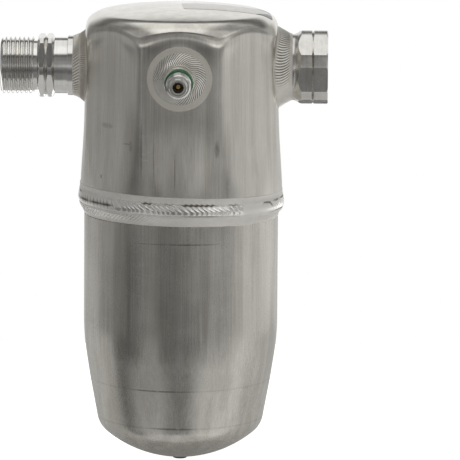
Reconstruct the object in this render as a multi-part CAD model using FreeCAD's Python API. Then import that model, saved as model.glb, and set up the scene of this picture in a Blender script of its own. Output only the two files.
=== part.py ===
# Suction line accumulator: a two-piece welded aluminium can with a female inlet at +X, a threaded
# male outlet at -X and a service port at -Y. Millimetres. The origin is the centre of the straight
# outside of the lower shell, where a strap clamp goes round it, and +Z is up.
import FreeCAD
import Part
import math
import os

os.makedirs("parts", exist_ok=True)

# Straight outside of the lower shell, where the clamp sits, from the weld's toe to the taper
clamp_land_length = 60.1

# Upper shell: a round cup with eight pressed flats, its depth counted up from its lip
lip_above_land = 7.45
upper_depth = 92.05
upper_radius = 48.2
upper_wall = 2.5
shoulder_radius = 12.5
dome_radius = 228.0
flat_count = 8
flats_across_top = 91.0
flats_across_low = 93.0
flat_low_drop = 20.0
flat_draft_length = 42.0
flat_run_out_radius = 175.0
flat_edge_blend = 2.5

# Lower shell: a drawn cup whose rim is stepped down and slides inside the upper shell's skirt
shell_clearance = 0.05
lower_radius = 46.25
lower_wall = 2.0
shell_overlap = 14.0
taper_angle = 8.9
taper_length = 19.5
second_taper_angle = 10.4
second_taper_length = 19.1
knuckle_radius = 11.5
bottom_radius = 55.6

# Girth weld over the upper shell's lip
girth_weld_height = 13.3
girth_weld_rise = 0.9
girth_crown_drop = 6.0
girth_toe_thickness = 0.35
girth_toe_height = 1.5
girth_upper_rise_share = 0.62
girth_upper_drop_share = 0.45
girth_lower_rise_share = 0.3

# The three connections, counted up from the upper shell's lip
fitting_rise = 62.65
spigot_clearance = 0.05
spigot_reach = 0.9

# Inlet: female hexagon fitting, one piece
inlet_end = 69.5
inlet_nut_length = 14.2
inlet_across_flats = 33.34
inlet_turned_radius = 17.75
inlet_neck_radius = 15.65
inlet_neck_flare = 3.4
inlet_thread_minor_radius = 12.35
inlet_thread_length = 13.0
inlet_mouth_chamfer = 1.2
inlet_relief_radius = 13.6
inlet_relief_length = 2.0
inlet_bore_radius = 8.75
inlet_spigot_radius = 11.6
inlet_groove_width = 1.1
inlet_core_step = 0.1
inlet_rear_chamfer = 1.6
inlet_front_chamfer = 0.5
inlet_hex_turn = -13.5
inlet_level_turn = 270.0
inlet_weld_base_radius = 19.7
inlet_weld_length = 6.7
inlet_weld_sag = 0.3

# Outlet: male threaded fitting with two thin hexagon rings, one piece
outlet_tip = 85.9
outlet_thread_radius = 13.49
outlet_thread_length = 15.7
outlet_tip_chamfer = 1.0
outlet_relief_radius = 11.75
outlet_relief_length = 1.8
outlet_ring_count = 2
outlet_ring_width = 4.2
outlet_ring_pitch = 3.85
outlet_ring_crest = 1.8
outlet_across_flats = 28.4
outlet_ring_radius = 15.45
outlet_hex_turn = 26.5
outlet_level_turn = 90.0
outlet_barrel_radius = 13.35
outlet_barrel_length = 6.2
outlet_collar_radius = 14.2
outlet_bore_radius = 8.0
outlet_mouth_chamfer = 0.8
outlet_spigot_radius = 11.6
outlet_weld_base_radius = 17.6
outlet_weld_length = 5.6
outlet_weld_sag = 0.6

# Service port: turned connection on the front flat, lengths counted outward from the flat
port_boss_radius = 7.1
port_boss_length = 12.6
port_step_radius = 5.85
port_step_length = 3.4
port_groove_radius = 4.9
port_groove_width = 2.3
port_relief_radius = 5.1
port_relief_length = 1.0
port_thread_radius = 5.95
port_thread_length = 6.7
port_thread_chamfer = 0.9
port_nose_radius = 4.25
port_nose_length = 3.7
port_nose_chamfer = 0.5
port_spigot_radius = 5.5
port_weld_base_radius = 13.25
port_weld_waist_radius = 9.6
port_weld_waist_height = 1.7
port_weld_height = 5.4
o_ring_section = 1.78

# Valve core inside the service port, depths counted inward from the nose's end
core_bore_radius = 2.6
core_clearance = 0.05
core_depth = 2.2
core_length = 11.0
core_neck_radius = 1.75
core_neck_length = 3.0
core_slot_width = 1.0
core_slot_depth = 1.5
gasket_length = 2.0
passage_radius = 1.7
pin_radius = 0.6
pin_depth = 1.0
pin_guide_clearance = 0.05
pin_collar_radius = 0.95
pin_collar_length = 0.8
pin_travel = 1.6
spring_chamber_radius = 1.35
spring_chamber_length = 5.5
spring_wire_radius = 0.15
spring_turns = 6.0
poppet_radius = 1.3
poppet_length = 1.2
poppet_seal_thickness = 0.6
poppet_clearance = 0.05
poppet_end_space = 0.5

# Foil label on the dome
label_length = 42.3
label_width = 17.8
label_thickness = 0.15
label_corner_radius = 2.2
label_centre_x = 21.4
label_centre_y = -2.5
label_turn = 5.1

# Stud under the bottom
stud_radius = 3.6
stud_drop = 1.4
stud_edge_radius = 1.0

# J-shaped suction tube
tube_radius = 9.525
tube_wall = 1.25
tube_clearance = 0.05
tube_leg_offset = 20.0
tube_upper_bend = 18.0
tube_socket_depth = 6.0
tube_bottom_gap = 18.92
tube_dome_gap = 21.55
bleed_hole_radius = 0.65
vent_hole_radius = 0.6
vent_hole_drop = 26.15

# Deflector cap over the tube's open end
cap_radius = 17.6
cap_wall = 1.8
cap_height = 22.0
cap_headroom = 6.0
cap_rib_count = 3
cap_rib_width = 2.0
cap_rib_height = 12.0

# Oil bleed filter under the tube's bend
saddle_radius = 12.0
saddle_top_rise = 4.0
saddle_drop = 3.0
cage_radius = 8.5
cage_wall = 1.8
cage_length = 12.0
cage_floor = 1.5
cage_window_count = 4
cage_window_width = 6.0
cage_window_height = 7.0
screen_thickness = 0.4
screen_clearance = 0.05

# Desiccant bags beside the tube's legs and the tie round them
bag_radius = 40.0
bag_height = 46.0
bag_edge_radius = 4.0
bag_gap = 0.25
tie_thickness = 1.2
tie_height = 4.8
tie_gap = 0.1
tie_head_length = 3.4
tie_head_width = 6.0
tie_head_height = 6.4

# Places that follow from the sizes above
land_half = clamp_land_length / 2
girth_top = land_half + girth_weld_height
lip_height = land_half + lip_above_land
lower_rim = lip_height + shell_overlap
rim_radius = upper_radius - upper_wall - shell_clearance
dome_apex_height = lip_height + upper_depth
fitting_height = lip_height + fitting_rise
tube_open_height = dome_apex_height - tube_dome_gap
flat_low_height = fitting_height - flat_low_drop
flat_draft = math.atan((flats_across_low - flats_across_top) / 2 / flat_draft_length)
shell_core = upper_radius - shoulder_radius
shoulder_angle = math.asin(shell_core / (dome_radius - shoulder_radius))
dome_centre = dome_apex_height - dome_radius
shoulder_height = dome_centre + (dome_radius - shoulder_radius) * math.cos(shoulder_angle)
flat_at_fittings = flats_across_low / 2 - flat_low_drop * math.tan(flat_draft)
poppet_stack = poppet_clearance + poppet_seal_thickness + poppet_length
core_bore_depth = core_depth + core_length + poppet_stack + pin_travel + poppet_end_space

# How far a cutting shape runs past what it cuts, a little and well beyond the can
overshoot = 1.0
far = 3 * upper_radius


def vector(x, y, z):
    return FreeCAD.Vector(x, y, z)


def section(r, z):
    # A point of a turned section, radius first
    return vector(r, 0, z)


def line(start, end):
    return Part.LineSegment(section(*start), section(*end)).toShape()


def arc(start, middle, end):
    return Part.Arc(section(*start), section(*middle), section(*end)).toShape()


def on_circle(centre, radius, angle):
    return (centre[0] + radius * math.cos(angle), centre[1] + radius * math.sin(angle))


def turned(edges):
    # Full turn about Z of a closed section
    face = Part.Face(Part.Wire(edges))
    return face.revolve(vector(0, 0, 0), vector(0, 0, 1), 360)


def turned_points(points):
    closed = points[1:] + points[:1]
    return turned([line(a, b) for a, b in zip(points, closed)])


def ring(inner, outer, low, high):
    return turned_points([(inner, low), (outer, low), (outer, high), (inner, high)])


def rod(radius, low, high):
    return Part.makeCylinder(radius, high - low, vector(0, 0, low))


def outward(shape, turn_about_z):
    # Lays a shape that was built along Z down along X, then turns it to its side of the can
    shape = shape.copy()
    shape.rotate(vector(0, 0, 0), vector(0, 1, 0), 90)
    shape.rotate(vector(0, 0, 0), vector(0, 0, 1), turn_about_z)
    shape.translate(vector(0, 0, fitting_height))
    return shape


def to_inlet(shape):
    return outward(shape, 0)


def to_outlet(shape):
    return outward(shape, 180)


def to_port(shape):
    return outward(shape, -90)


def hexagon(across_flats, low, high, turn):
    # Six-sided prism along Z, one flat's normal at the given angle. A level turn is the one that
    # points that normal level, to the service port's side, once the prism is laid down
    corner = across_flats / 2 / math.cos(math.radians(30))
    angles = [math.radians(turn + 30 + 60 * side) for side in range(6)]
    points = [vector(corner * math.cos(a), corner * math.sin(a), low) for a in angles]
    face = Part.Face(Part.makePolygon(points + points[:1]))
    return face.extrude(vector(0, 0, high - low))


def upper_envelope(inset):
    # Round cup before the flats: skirt, shoulder and dome, moved in by the inset
    shoulder = shoulder_radius - inset
    dome = dome_radius - inset
    middle = (shoulder_angle + math.pi / 2) / 2
    start = (upper_radius - inset, shoulder_height)
    bend = (shell_core + shoulder * math.sin(middle), shoulder_height + shoulder * math.cos(middle))
    tangent = (dome * math.sin(shoulder_angle), dome_centre + dome * math.cos(shoulder_angle))
    half = (dome * math.sin(shoulder_angle / 2), dome_centre + dome * math.cos(shoulder_angle / 2))
    apex = (0, dome_centre + dome)
    base = (upper_radius - inset, lip_height)
    return turned([
        line((0, lip_height), base),
        line(base, start),
        arc(start, bend, tangent),
        arc(tangent, half, apex),
        line(apex, (0, lip_height)),
    ])


def flat_cutter(inset, side):
    # What the press pushes in at one flat: a drafted plane that runs out into the round skirt
    normal = (math.cos(flat_draft), math.sin(flat_draft))
    centre = (flats_across_low / 2 + flat_run_out_radius * normal[0],
              flat_low_height + flat_run_out_radius * normal[1])
    radius = flat_run_out_radius + inset
    low = on_circle(centre, radius, math.pi + flat_draft)
    outside = upper_radius + overshoot - flats_across_low / 2
    end_angle = math.acos(math.cos(flat_draft) - outside / flat_run_out_radius)
    end = on_circle(centre, radius, math.pi + end_angle)
    middle = on_circle(centre, radius, math.pi + (flat_draft + end_angle) / 2)
    rise = dome_apex_height - low[1]
    top = (low[0] - rise * math.tan(flat_draft), dome_apex_height)
    wire = Part.Wire([
        line(top, low),
        arc(low, middle, end),
        line(end, (far, end[1])),
        line((far, end[1]), (far, top[1])),
        line((far, top[1]), top),
    ])
    cutter = Part.Face(wire).extrude(vector(0, 2 * far, 0))
    cutter.translate(vector(0, -far, 0))
    cutter.rotate(vector(0, 0, 0), vector(0, 0, 1), side * 360 / flat_count)
    return cutter


def flattened(inset):
    cutters = [flat_cutter(inset, side) for side in range(flat_count)]
    return upper_envelope(inset).cut(cutters)


def is_pressed(face):
    # The press leaves upright planes and run-outs that are round about a level axis
    surface = face.Surface
    if not isinstance(surface, (Part.Plane, Part.Cylinder)):
        return False
    return abs(surface.Axis.z) < math.cos(math.radians(45))


def upper_outside():
    # The edges between flats and round parts are soft, as pressed
    shape = flattened(0)
    pressed = Part.makeCompound([face for face in shape.Faces if is_pressed(face)]).Edges
    left_round = Part.makeCompound([face for face in shape.Faces if not is_pressed(face)]).Edges
    shared = [edge for edge in pressed if any(edge.isSame(other) for other in left_round)]
    return shape.makeFillet(flat_edge_blend, shared)


def upper_shell(outside):
    shape = outside.cut(flattened(upper_wall))
    holes = [
        to_inlet(rod(inlet_spigot_radius + spigot_clearance, 0, far)),
        to_outlet(rod(outlet_spigot_radius + spigot_clearance, 0, far)),
        to_port(rod(port_spigot_radius + spigot_clearance, 0, far)),
    ]
    return shape.cut(holes)


def inward_normal(angle):
    return (-math.cos(angle), math.sin(angle))


def moved_corner(corner, angle_above, angle_below, inset):
    # Corner between two straight walls after both move in by the inset
    a = inward_normal(angle_above)
    b = inward_normal(angle_below)
    scale = inset / (1 + a[0] * b[0] + a[1] * b[1])
    return (corner[0] + scale * (a[0] + b[0]), corner[1] + scale * (a[1] + b[1]))


def lower_corners():
    # The tapers' two corners, then the centres of the knuckle and of the domed bottom
    first = math.radians(taper_angle)
    second = math.radians(second_taper_angle)
    bend = (lower_radius, -land_half)
    crease = (bend[0] - taper_length * math.tan(first), bend[1] - taper_length)
    knuckle = (crease[0] - second_taper_length * math.tan(second), crease[1] - second_taper_length)
    normal = inward_normal(second)
    centre = (knuckle[0] + knuckle_radius * normal[0], knuckle[1] + knuckle_radius * normal[1])
    bottom_centre = centre[1] + math.sqrt((bottom_radius - knuckle_radius) ** 2 - centre[0] ** 2)
    return bend, crease, centre, bottom_centre


def lower_envelope(inset):
    # Cup without its hollow: straight wall, two tapers, knuckle and domed bottom
    first = math.radians(taper_angle)
    second = math.radians(second_taper_angle)
    bend, crease, centre, bottom_centre = lower_corners()
    meeting = math.atan2(centre[1] - bottom_centre, centre[0])
    small = knuckle_radius - inset
    large = bottom_radius - inset
    rim = (lower_radius - inset, lower_rim)
    bend = moved_corner(bend, 0, first, inset)
    crease = moved_corner(crease, first, second, inset)
    knuckle = on_circle(centre, small, -second)
    knuckle_middle = on_circle(centre, small, (meeting - second) / 2)
    tangent = on_circle((0, bottom_centre), large, meeting)
    half = on_circle((0, bottom_centre), large, (meeting - math.pi / 2) / 2)
    apex = (0, bottom_centre - large)
    return turned([
        line((0, lower_rim), rim),
        line(rim, bend),
        line(bend, crease),
        line(crease, knuckle),
        arc(knuckle, knuckle_middle, tangent),
        arc(tangent, half, apex),
        line(apex, (0, lower_rim)),
    ])


def lower_shell(outside):
    outside_rim = ring(rim_radius, upper_radius, land_half, lower_rim)
    return outside.cut([lower_envelope(lower_wall), outside_rim])


def girth_weld():
    # Bead from a thin edge on the skirt, over the lip, down to a toe on the lower shell
    top = (upper_radius, girth_top)
    crown = (upper_radius + girth_weld_rise, girth_top - girth_crown_drop)
    shoulder = (upper_radius + girth_weld_rise * girth_upper_rise_share,
                girth_top - girth_crown_drop * girth_upper_drop_share)
    toe = (lower_radius + girth_toe_thickness, land_half + girth_toe_height)
    fall = (crown[1] + toe[1]) / 2
    belly = (upper_radius + girth_weld_rise * girth_lower_rise_share, fall)
    end = (lower_radius, land_half)
    return turned([
        arc(top, shoulder, crown),
        arc(crown, belly, toe),
        line(toe, end),
        line(end, (rim_radius, land_half)),
        line((rim_radius, land_half), (rim_radius, lip_height)),
        line((rim_radius, lip_height), (upper_radius, lip_height)),
        line((upper_radius, lip_height), top),
    ])


def inlet_fitting():
    nut_start = inlet_end - inlet_nut_length
    neck_end = nut_start + inlet_rear_chamfer
    flare_start = nut_start - inlet_neck_flare / 2
    half_flats = inlet_across_flats / 2
    core = half_flats - inlet_core_step
    inner_end = flat_at_fittings - upper_wall - spigot_reach
    body = turned_points([
        (0, inner_end), (inlet_spigot_radius, inner_end), (inlet_spigot_radius, flat_at_fittings),
        (inlet_neck_radius, flat_at_fittings), (inlet_neck_radius, flare_start),
        (core, nut_start), (core, inlet_end), (0, inlet_end),
    ])
    nut = turned_points([
        (0, nut_start), (core, nut_start), (inlet_turned_radius, neck_end),
        (inlet_turned_radius, inlet_end - inlet_front_chamfer),
        (inlet_turned_radius - inlet_front_chamfer, inlet_end), (0, inlet_end),
    ])
    middle = (nut_start + inlet_end) / 2
    groove = turned_points([
        (half_flats, middle), (inlet_turned_radius, middle - inlet_groove_width / 2),
        (inlet_turned_radius, middle + inlet_groove_width / 2),
    ])
    turn = inlet_level_turn - inlet_hex_turn
    nut = nut.common(hexagon(inlet_across_flats, nut_start, inlet_end, turn)).cut(groove)
    thread_start = inlet_end - inlet_thread_length
    relief_start = thread_start - inlet_relief_length
    bore = turned_points([
        (0, inner_end - overshoot), (inlet_bore_radius, inner_end - overshoot),
        (inlet_bore_radius, relief_start),
        (inlet_relief_radius, relief_start), (inlet_relief_radius, thread_start),
        (inlet_thread_minor_radius, thread_start),
        (inlet_thread_minor_radius, inlet_end - inlet_mouth_chamfer),
        (inlet_thread_minor_radius + inlet_mouth_chamfer, inlet_end),
        (inlet_thread_minor_radius + inlet_mouth_chamfer, inlet_end + overshoot),
        (0, inlet_end + overshoot),
    ])
    return to_inlet(body.fuse(nut).cut(bore).removeSplitter())


def outlet_ring(low):
    # Thin hexagon ring, chamfered on both faces so that its flats look like lenses
    high = low + outlet_ring_width
    middle = (low + high) / 2
    crest = outlet_ring_crest / 2
    disc = turned_points([
        (0, low), (outlet_barrel_radius, low), (outlet_ring_radius, middle - crest),
        (outlet_ring_radius, middle + crest), (outlet_barrel_radius, high), (0, high),
    ])
    return disc.common(hexagon(outlet_across_flats, low, high, outlet_level_turn + outlet_hex_turn))


def outlet_fitting():
    thread_start = outlet_tip - outlet_thread_length
    relief_start = thread_start - outlet_relief_length
    rings_start = relief_start - outlet_ring_width - (outlet_ring_count - 1) * outlet_ring_pitch
    barrel_start = rings_start - outlet_barrel_length
    inner_end = flat_at_fittings - upper_wall - spigot_reach - tube_wall
    body = turned_points([
        (0, inner_end), (outlet_spigot_radius, inner_end), (outlet_spigot_radius, flat_at_fittings),
        (outlet_collar_radius, flat_at_fittings), (outlet_collar_radius, barrel_start),
        (outlet_barrel_radius, barrel_start), (outlet_barrel_radius, relief_start),
        (outlet_relief_radius, relief_start), (outlet_relief_radius, thread_start),
        (outlet_thread_radius, thread_start), (outlet_thread_radius, outlet_tip - outlet_tip_chamfer),
        (outlet_thread_radius - outlet_tip_chamfer, outlet_tip), (0, outlet_tip),
    ])
    rings = [outlet_ring(rings_start + place * outlet_ring_pitch) for place in range(outlet_ring_count)]
    socket_end = inner_end + tube_socket_depth
    bore = turned_points([
        (0, inner_end - overshoot), (tube_radius + tube_clearance, inner_end - overshoot),
        (tube_radius + tube_clearance, socket_end), (outlet_bore_radius, socket_end),
        (outlet_bore_radius, outlet_tip - outlet_mouth_chamfer),
        (outlet_bore_radius + outlet_mouth_chamfer, outlet_tip),
        (outlet_bore_radius + outlet_mouth_chamfer, outlet_tip + overshoot),
        (0, outlet_tip + overshoot),
    ])
    return to_outlet(body.fuse(rings).cut(bore).removeSplitter())


def fillet_weld(base_radius, end_radius, length, sag, place):
    # Bead round a fitting, slightly hollow, before the shell and the fitting are taken out of it
    start = (base_radius, flat_at_fittings)
    end = (end_radius, flat_at_fittings + length)
    middle = ((start[0] + end[0]) / 2 - sag, (start[1] + end[1]) / 2)
    below = flat_at_fittings - upper_wall / 2
    return place(turned([
        line((0, below), (base_radius, below)),
        line((base_radius, below), start),
        arc(start, middle, end),
        line(end, (0, end[1])),
        line((0, end[1]), (0, below)),
    ]))


def port_stations():
    # Distances from the can's axis of the service port's steps, from the flat outward
    lengths = [port_boss_length, port_step_length, port_groove_width, port_relief_length,
               port_thread_length, port_nose_length]
    stations = [flat_at_fittings]
    for length in lengths:
        stations.append(stations[-1] + length)
    return stations


def service_port():
    flat, boss, step, groove, relief, thread, nose = port_stations()
    inner_end = flat - upper_wall - spigot_reach
    bore_end = nose - core_bore_depth
    body = turned_points([
        (passage_radius, inner_end), (port_spigot_radius, inner_end), (port_spigot_radius, flat),
        (port_boss_radius, flat), (port_boss_radius, boss), (port_step_radius, boss),
        (port_step_radius, step), (port_groove_radius, step), (port_groove_radius, groove),
        (port_relief_radius, groove), (port_relief_radius, relief), (port_thread_radius, relief),
        (port_thread_radius, thread - port_thread_chamfer), (port_nose_radius, thread),
        (port_nose_radius, nose - port_nose_chamfer), (port_nose_radius - port_nose_chamfer, nose),
        (core_bore_radius, nose), (core_bore_radius, bore_end), (passage_radius, bore_end),
    ])
    return to_port(body)


def port_weld():
    flat = flat_at_fittings
    start = (port_weld_base_radius, flat)
    waist = (port_weld_waist_radius, flat + port_weld_waist_height)
    end = (port_boss_radius, flat + port_weld_height)
    below = flat - upper_wall / 2
    return to_port(turned([
        line((0, below), (port_weld_base_radius, below)),
        line((port_weld_base_radius, below), start),
        arc(start, waist, end),
        line(end, (0, end[1])),
        line((0, end[1]), (0, below)),
    ]))


def service_o_ring():
    groove_start = port_stations()[2]
    section_radius = o_ring_section / 2
    torus = Part.makeTorus(port_groove_radius + section_radius, section_radius)
    torus.translate(vector(0, 0, groove_start + port_groove_width / 2))
    return to_port(torus)


def core_stations():
    # Valve core from its outer face inward: outer face, start of the neck and inner face
    outer = port_stations()[-1] - core_depth
    inner = outer - core_length
    return outer, inner + core_neck_length, inner


def valve_core_barrel():
    outer, neck, inner = core_stations()
    chamber_end = outer - core_slot_depth - spring_chamber_length
    guide = pin_radius + pin_guide_clearance
    body = turned_points([
        (guide, inner), (core_neck_radius, inner), (core_neck_radius, neck),
        (core_bore_radius - core_clearance, neck), (core_bore_radius - core_clearance, outer),
        (spring_chamber_radius, outer), (spring_chamber_radius, chamber_end), (guide, chamber_end),
    ])
    slot = Part.makeBox(core_slot_width, 2 * core_bore_radius, core_slot_depth)
    slot.translate(vector(-core_slot_width / 2, -core_bore_radius, outer - core_slot_depth))
    return to_port(body.cut(slot))


def valve_core_gasket():
    _, neck, _ = core_stations()
    return to_port(ring(core_neck_radius, core_bore_radius - core_clearance, neck - gasket_length, neck))


def valve_pin():
    # Stem with the spring's collar near its outer end and the poppet below the barrel
    outer, _, inner = core_stations()
    tip = port_stations()[-1] - pin_depth
    collar = outer - core_slot_depth
    seal = inner - poppet_clearance - poppet_seal_thickness
    body = turned_points([
        (0, seal - poppet_length), (poppet_radius, seal - poppet_length), (poppet_radius, seal),
        (pin_radius, seal), (pin_radius, collar - pin_collar_length),
        (pin_collar_radius, collar - pin_collar_length), (pin_collar_radius, collar),
        (pin_radius, collar), (pin_radius, tip), (0, tip),
    ])
    return to_port(body)


def valve_pin_seal():
    _, _, inner = core_stations()
    high = inner - poppet_clearance
    return to_port(ring(pin_radius, poppet_radius, high - poppet_seal_thickness, high))


def valve_spring():
    # Helical spring between the chamber's floor and the pin's collar
    outer, _, _ = core_stations()
    high = outer - core_slot_depth - pin_collar_length - spring_wire_radius
    low = outer - core_slot_depth - spring_chamber_length + spring_wire_radius
    radius = spring_chamber_radius - spring_wire_radius - pin_guide_clearance
    pitch = (high - low) / spring_turns
    helix = Part.makeHelix(pitch, high - low, radius)
    helix.translate(vector(0, 0, low))
    circle = Part.Circle(vector(radius, 0, low), vector(0, 1, 0), spring_wire_radius).toShape()
    wire = Part.Wire(helix.Edges)
    return to_port(wire.makePipeShell([Part.Wire(circle)], True, True))


def rounded_rectangle(length, width, radius, low, high):
    box = Part.makeBox(length, width, high - low, vector(-length / 2, -width / 2, low))
    upright = [edge for edge in box.Edges if edge.BoundBox.ZLength > edge.BoundBox.DiagonalLength / 2]
    return box.makeFillet(radius, upright)


def identification_label(outside):
    # Foil that follows the dome and the start of the shoulder
    prism = rounded_rectangle(label_length, label_width, label_corner_radius, shoulder_height, far)
    prism.rotate(vector(0, 0, 0), vector(0, 0, 1), label_turn)
    prism.translate(vector(label_centre_x, label_centre_y, 0))
    return upper_envelope(-label_thickness).common(prism).cut(outside)


def bottom_stud(lower_outside):
    bottom = lower_outside.BoundBox.ZMin - stud_drop
    blank = rod(stud_radius, bottom, bottom + 2 * stud_drop + stud_edge_radius)
    lower_edge = [edge for edge in blank.Edges if edge.BoundBox.ZMax < bottom + stud_edge_radius / 2]
    return blank.makeFillet(stud_edge_radius, lower_edge).cut(lower_outside)


def tube_bend_height():
    # Centre of the lower bend, which clears the bottom's inside
    bottom_inside = lower_corners()[-1] - bottom_radius + lower_wall
    return bottom_inside + tube_bottom_gap + tube_radius + tube_leg_offset


def tube_path():
    leg = tube_leg_offset
    bend = tube_bend_height()
    start = flat_at_fittings - upper_wall - spigot_reach - tube_wall + tube_socket_depth
    turn_x = leg + tube_upper_bend
    turn_z = fitting_height - tube_upper_bend
    slant = math.sqrt(0.5)
    bend_middle = (-turn_x + tube_upper_bend * slant, turn_z + tube_upper_bend * slant)
    return Part.Wire([
        line((-start, fitting_height), (-turn_x, fitting_height)),
        arc((-turn_x, fitting_height), bend_middle, (-leg, turn_z)),
        line((-leg, turn_z), (-leg, bend)),
        arc((-leg, bend), (0, bend - leg), (leg, bend)),
        line((leg, bend), (leg, tube_open_height)),
    ])


def pipe(path, radius):
    start = path.Edges[0].Vertexes[0].Point
    circle = Part.Circle(start, vector(1, 0, 0), radius).toShape()
    return path.makePipeShell([Part.Wire(circle)], True, False)


def suction_tube():
    path = tube_path()
    tube = pipe(path, tube_radius).cut(pipe(path, tube_radius - tube_wall))
    lowest = tube_bend_height() - tube_leg_offset
    bleed = rod(bleed_hole_radius, lowest - 2 * tube_radius, lowest)
    vent = rod(vent_hole_radius, 0, 2 * tube_radius)
    vent.rotate(vector(0, 0, 0), vector(0, 1, 0), -90)
    vent.translate(vector(-tube_leg_offset, 0, fitting_height - vent_hole_drop))
    return tube.cut([bleed, vent])


def deflector_cap():
    inner_top = tube_open_height + cap_headroom
    low = inner_top + cap_wall - cap_height
    inner_radius = cap_radius - cap_wall
    cup = turned_points([
        (inner_radius, low), (cap_radius, low), (cap_radius, inner_top),
        (inner_radius, inner_top + cap_wall), (0, inner_top + cap_wall), (0, inner_top),
        (inner_radius, inner_top),
    ])
    grip = rod(tube_radius + tube_clearance, low - overshoot, tube_open_height + overshoot)
    ribs = []
    for place in range(cap_rib_count):
        rib = Part.makeBox(inner_radius + cap_wall / 2, cap_rib_width, cap_rib_height)
        rib.translate(vector(0, -cap_rib_width / 2, tube_open_height - cap_rib_height))
        rib.rotate(vector(0, 0, 0), vector(0, 0, 1), place * 360 / cap_rib_count + 90)
        ribs.append(rib.cut(grip))
    cap = cup.fuse(ribs).removeSplitter()
    cap.translate(vector(tube_leg_offset, 0, 0))
    return cap


def bleed_filter_housing():
    # Saddle clipped under the bend and a cage below it that holds the screen
    bend_centre = tube_bend_height()
    lowest_centre = bend_centre - tube_leg_offset
    saddle_low = lowest_centre - tube_radius - saddle_drop
    cage_low = saddle_low - cage_length
    saddle = rod(saddle_radius, saddle_low, lowest_centre + saddle_top_rise)
    cage = rod(cage_radius, cage_low, saddle_low)
    hollow = rod(cage_radius - cage_wall, cage_low + cage_floor, lowest_centre)
    bend = Part.makeTorus(tube_leg_offset, tube_radius + tube_clearance,
                          vector(0, 0, bend_centre), vector(0, 1, 0))
    windows = []
    for place in range(cage_window_count):
        window = Part.makeBox(far, cage_window_width, cage_window_height)
        window.translate(vector(0, -cage_window_width / 2, cage_low + (cage_length - cage_window_height) / 2))
        window.rotate(vector(0, 0, 0), vector(0, 0, 1), (place + 0.5) * 360 / cage_window_count)
        windows.append(window)
    return saddle.fuse(cage).cut([hollow, bend] + windows).removeSplitter()


def bleed_filter_screen():
    saddle_low = tube_bend_height() - tube_leg_offset - tube_radius - saddle_drop
    outer = cage_radius - cage_wall - screen_clearance
    return ring(outer - screen_thickness, outer, saddle_low - cage_length + cage_floor, saddle_low)


def desiccant_bag(side):
    # D-shaped pillow beside the tube's legs
    disc = rod(bag_radius, -bag_height / 2, bag_height / 2)
    face = tube_radius + bag_gap
    cut = Part.makeBox(far, far, far, vector(-far / 2, face - far, -far / 2))
    pillow = disc.cut(cut)
    pillow = pillow.makeFillet(bag_edge_radius, pillow.Edges)
    if side < 0:
        pillow.rotate(vector(0, 0, 0), vector(0, 0, 1), 180)
    return pillow


def bag_tie():
    inner = bag_radius + tie_gap
    outer = inner + tie_thickness
    chord = math.sqrt(bag_radius ** 2 - (tube_radius + bag_gap) ** 2)
    half = tie_height / 2

    def loop(radius, reach):
        bound = Part.makeBox(2 * reach, far, tie_height, vector(-reach, -far / 2, -half))
        return rod(radius, -half, half).common(bound)

    band = loop(outer, chord + tie_thickness).cut(loop(inner, chord))
    head = Part.makeBox(tie_head_length, tie_head_width, tie_head_height,
                        vector(chord, -tie_head_width / 2, -tie_head_height / 2))
    return band.fuse(head).removeSplitter()


def save(name, shape):
    solids = shape.Solids
    if len(solids) == 1:
        shape = solids[0]
    shape.exportStep("parts/" + name + ".step")
    print(name, shape.isValid(), len(solids), round(shape.Volume, 2))


upper_blank = upper_outside()
lower_blank = lower_envelope(0)


def seated(fitting, spigot_radius, place):
    # A fitting's shoulder follows the drafted flat, and its spigot goes through the hole
    hole = place(rod(spigot_radius + spigot_clearance, 0, far))
    return fitting.cut(upper_blank.cut(hole))


def around(bead, neck_radius, place):
    # A bead is a ring on the shell's outside, round the neck of its fitting
    neck = place(rod(neck_radius, 0, far))
    return bead.cut([upper_blank, neck])


inlet_bead = fillet_weld(inlet_weld_base_radius, inlet_neck_radius, inlet_weld_length,
                         inlet_weld_sag, to_inlet)
outlet_bead = fillet_weld(outlet_weld_base_radius, outlet_collar_radius, outlet_weld_length,
                          outlet_weld_sag, to_outlet)
save("upper_shell", upper_shell(upper_blank))
save("lower_shell", lower_shell(lower_blank))
save("girth_weld", girth_weld())
save("inlet_fitting", seated(inlet_fitting(), inlet_spigot_radius, to_inlet))
save("outlet_fitting", seated(outlet_fitting(), outlet_spigot_radius, to_outlet))
save("service_port", seated(service_port(), port_spigot_radius, to_port))
save("inlet_weld", around(inlet_bead, inlet_neck_radius, to_inlet))
save("outlet_weld", around(outlet_bead, outlet_collar_radius, to_outlet))
save("service_port_weld", around(port_weld(), port_boss_radius, to_port))
save("service_port_o_ring", service_o_ring())
save("valve_core_barrel", valve_core_barrel())
save("valve_core_gasket", valve_core_gasket())
save("valve_pin", valve_pin())
save("valve_pin_seal", valve_pin_seal())
save("valve_spring", valve_spring())
save("identification_label", identification_label(upper_blank))
save("bottom_stud", bottom_stud(lower_blank))
save("suction_tube", suction_tube())
save("deflector_cap", deflector_cap())
save("bleed_filter_housing", bleed_filter_housing())
save("bleed_filter_screen", bleed_filter_screen())
save("desiccant_bag_rear", desiccant_bag(1))
save("desiccant_bag_front", desiccant_bag(-1))
save("bag_tie", bag_tie())
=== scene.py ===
# Suction line accumulator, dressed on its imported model. Pieces are worked out in millimetres in the
# model's own frame and scaled to metres as each mesh is made. The camera's side is -Y.
import math
import bmesh
import bpy
import numpy as np
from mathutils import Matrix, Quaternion, Vector


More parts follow.
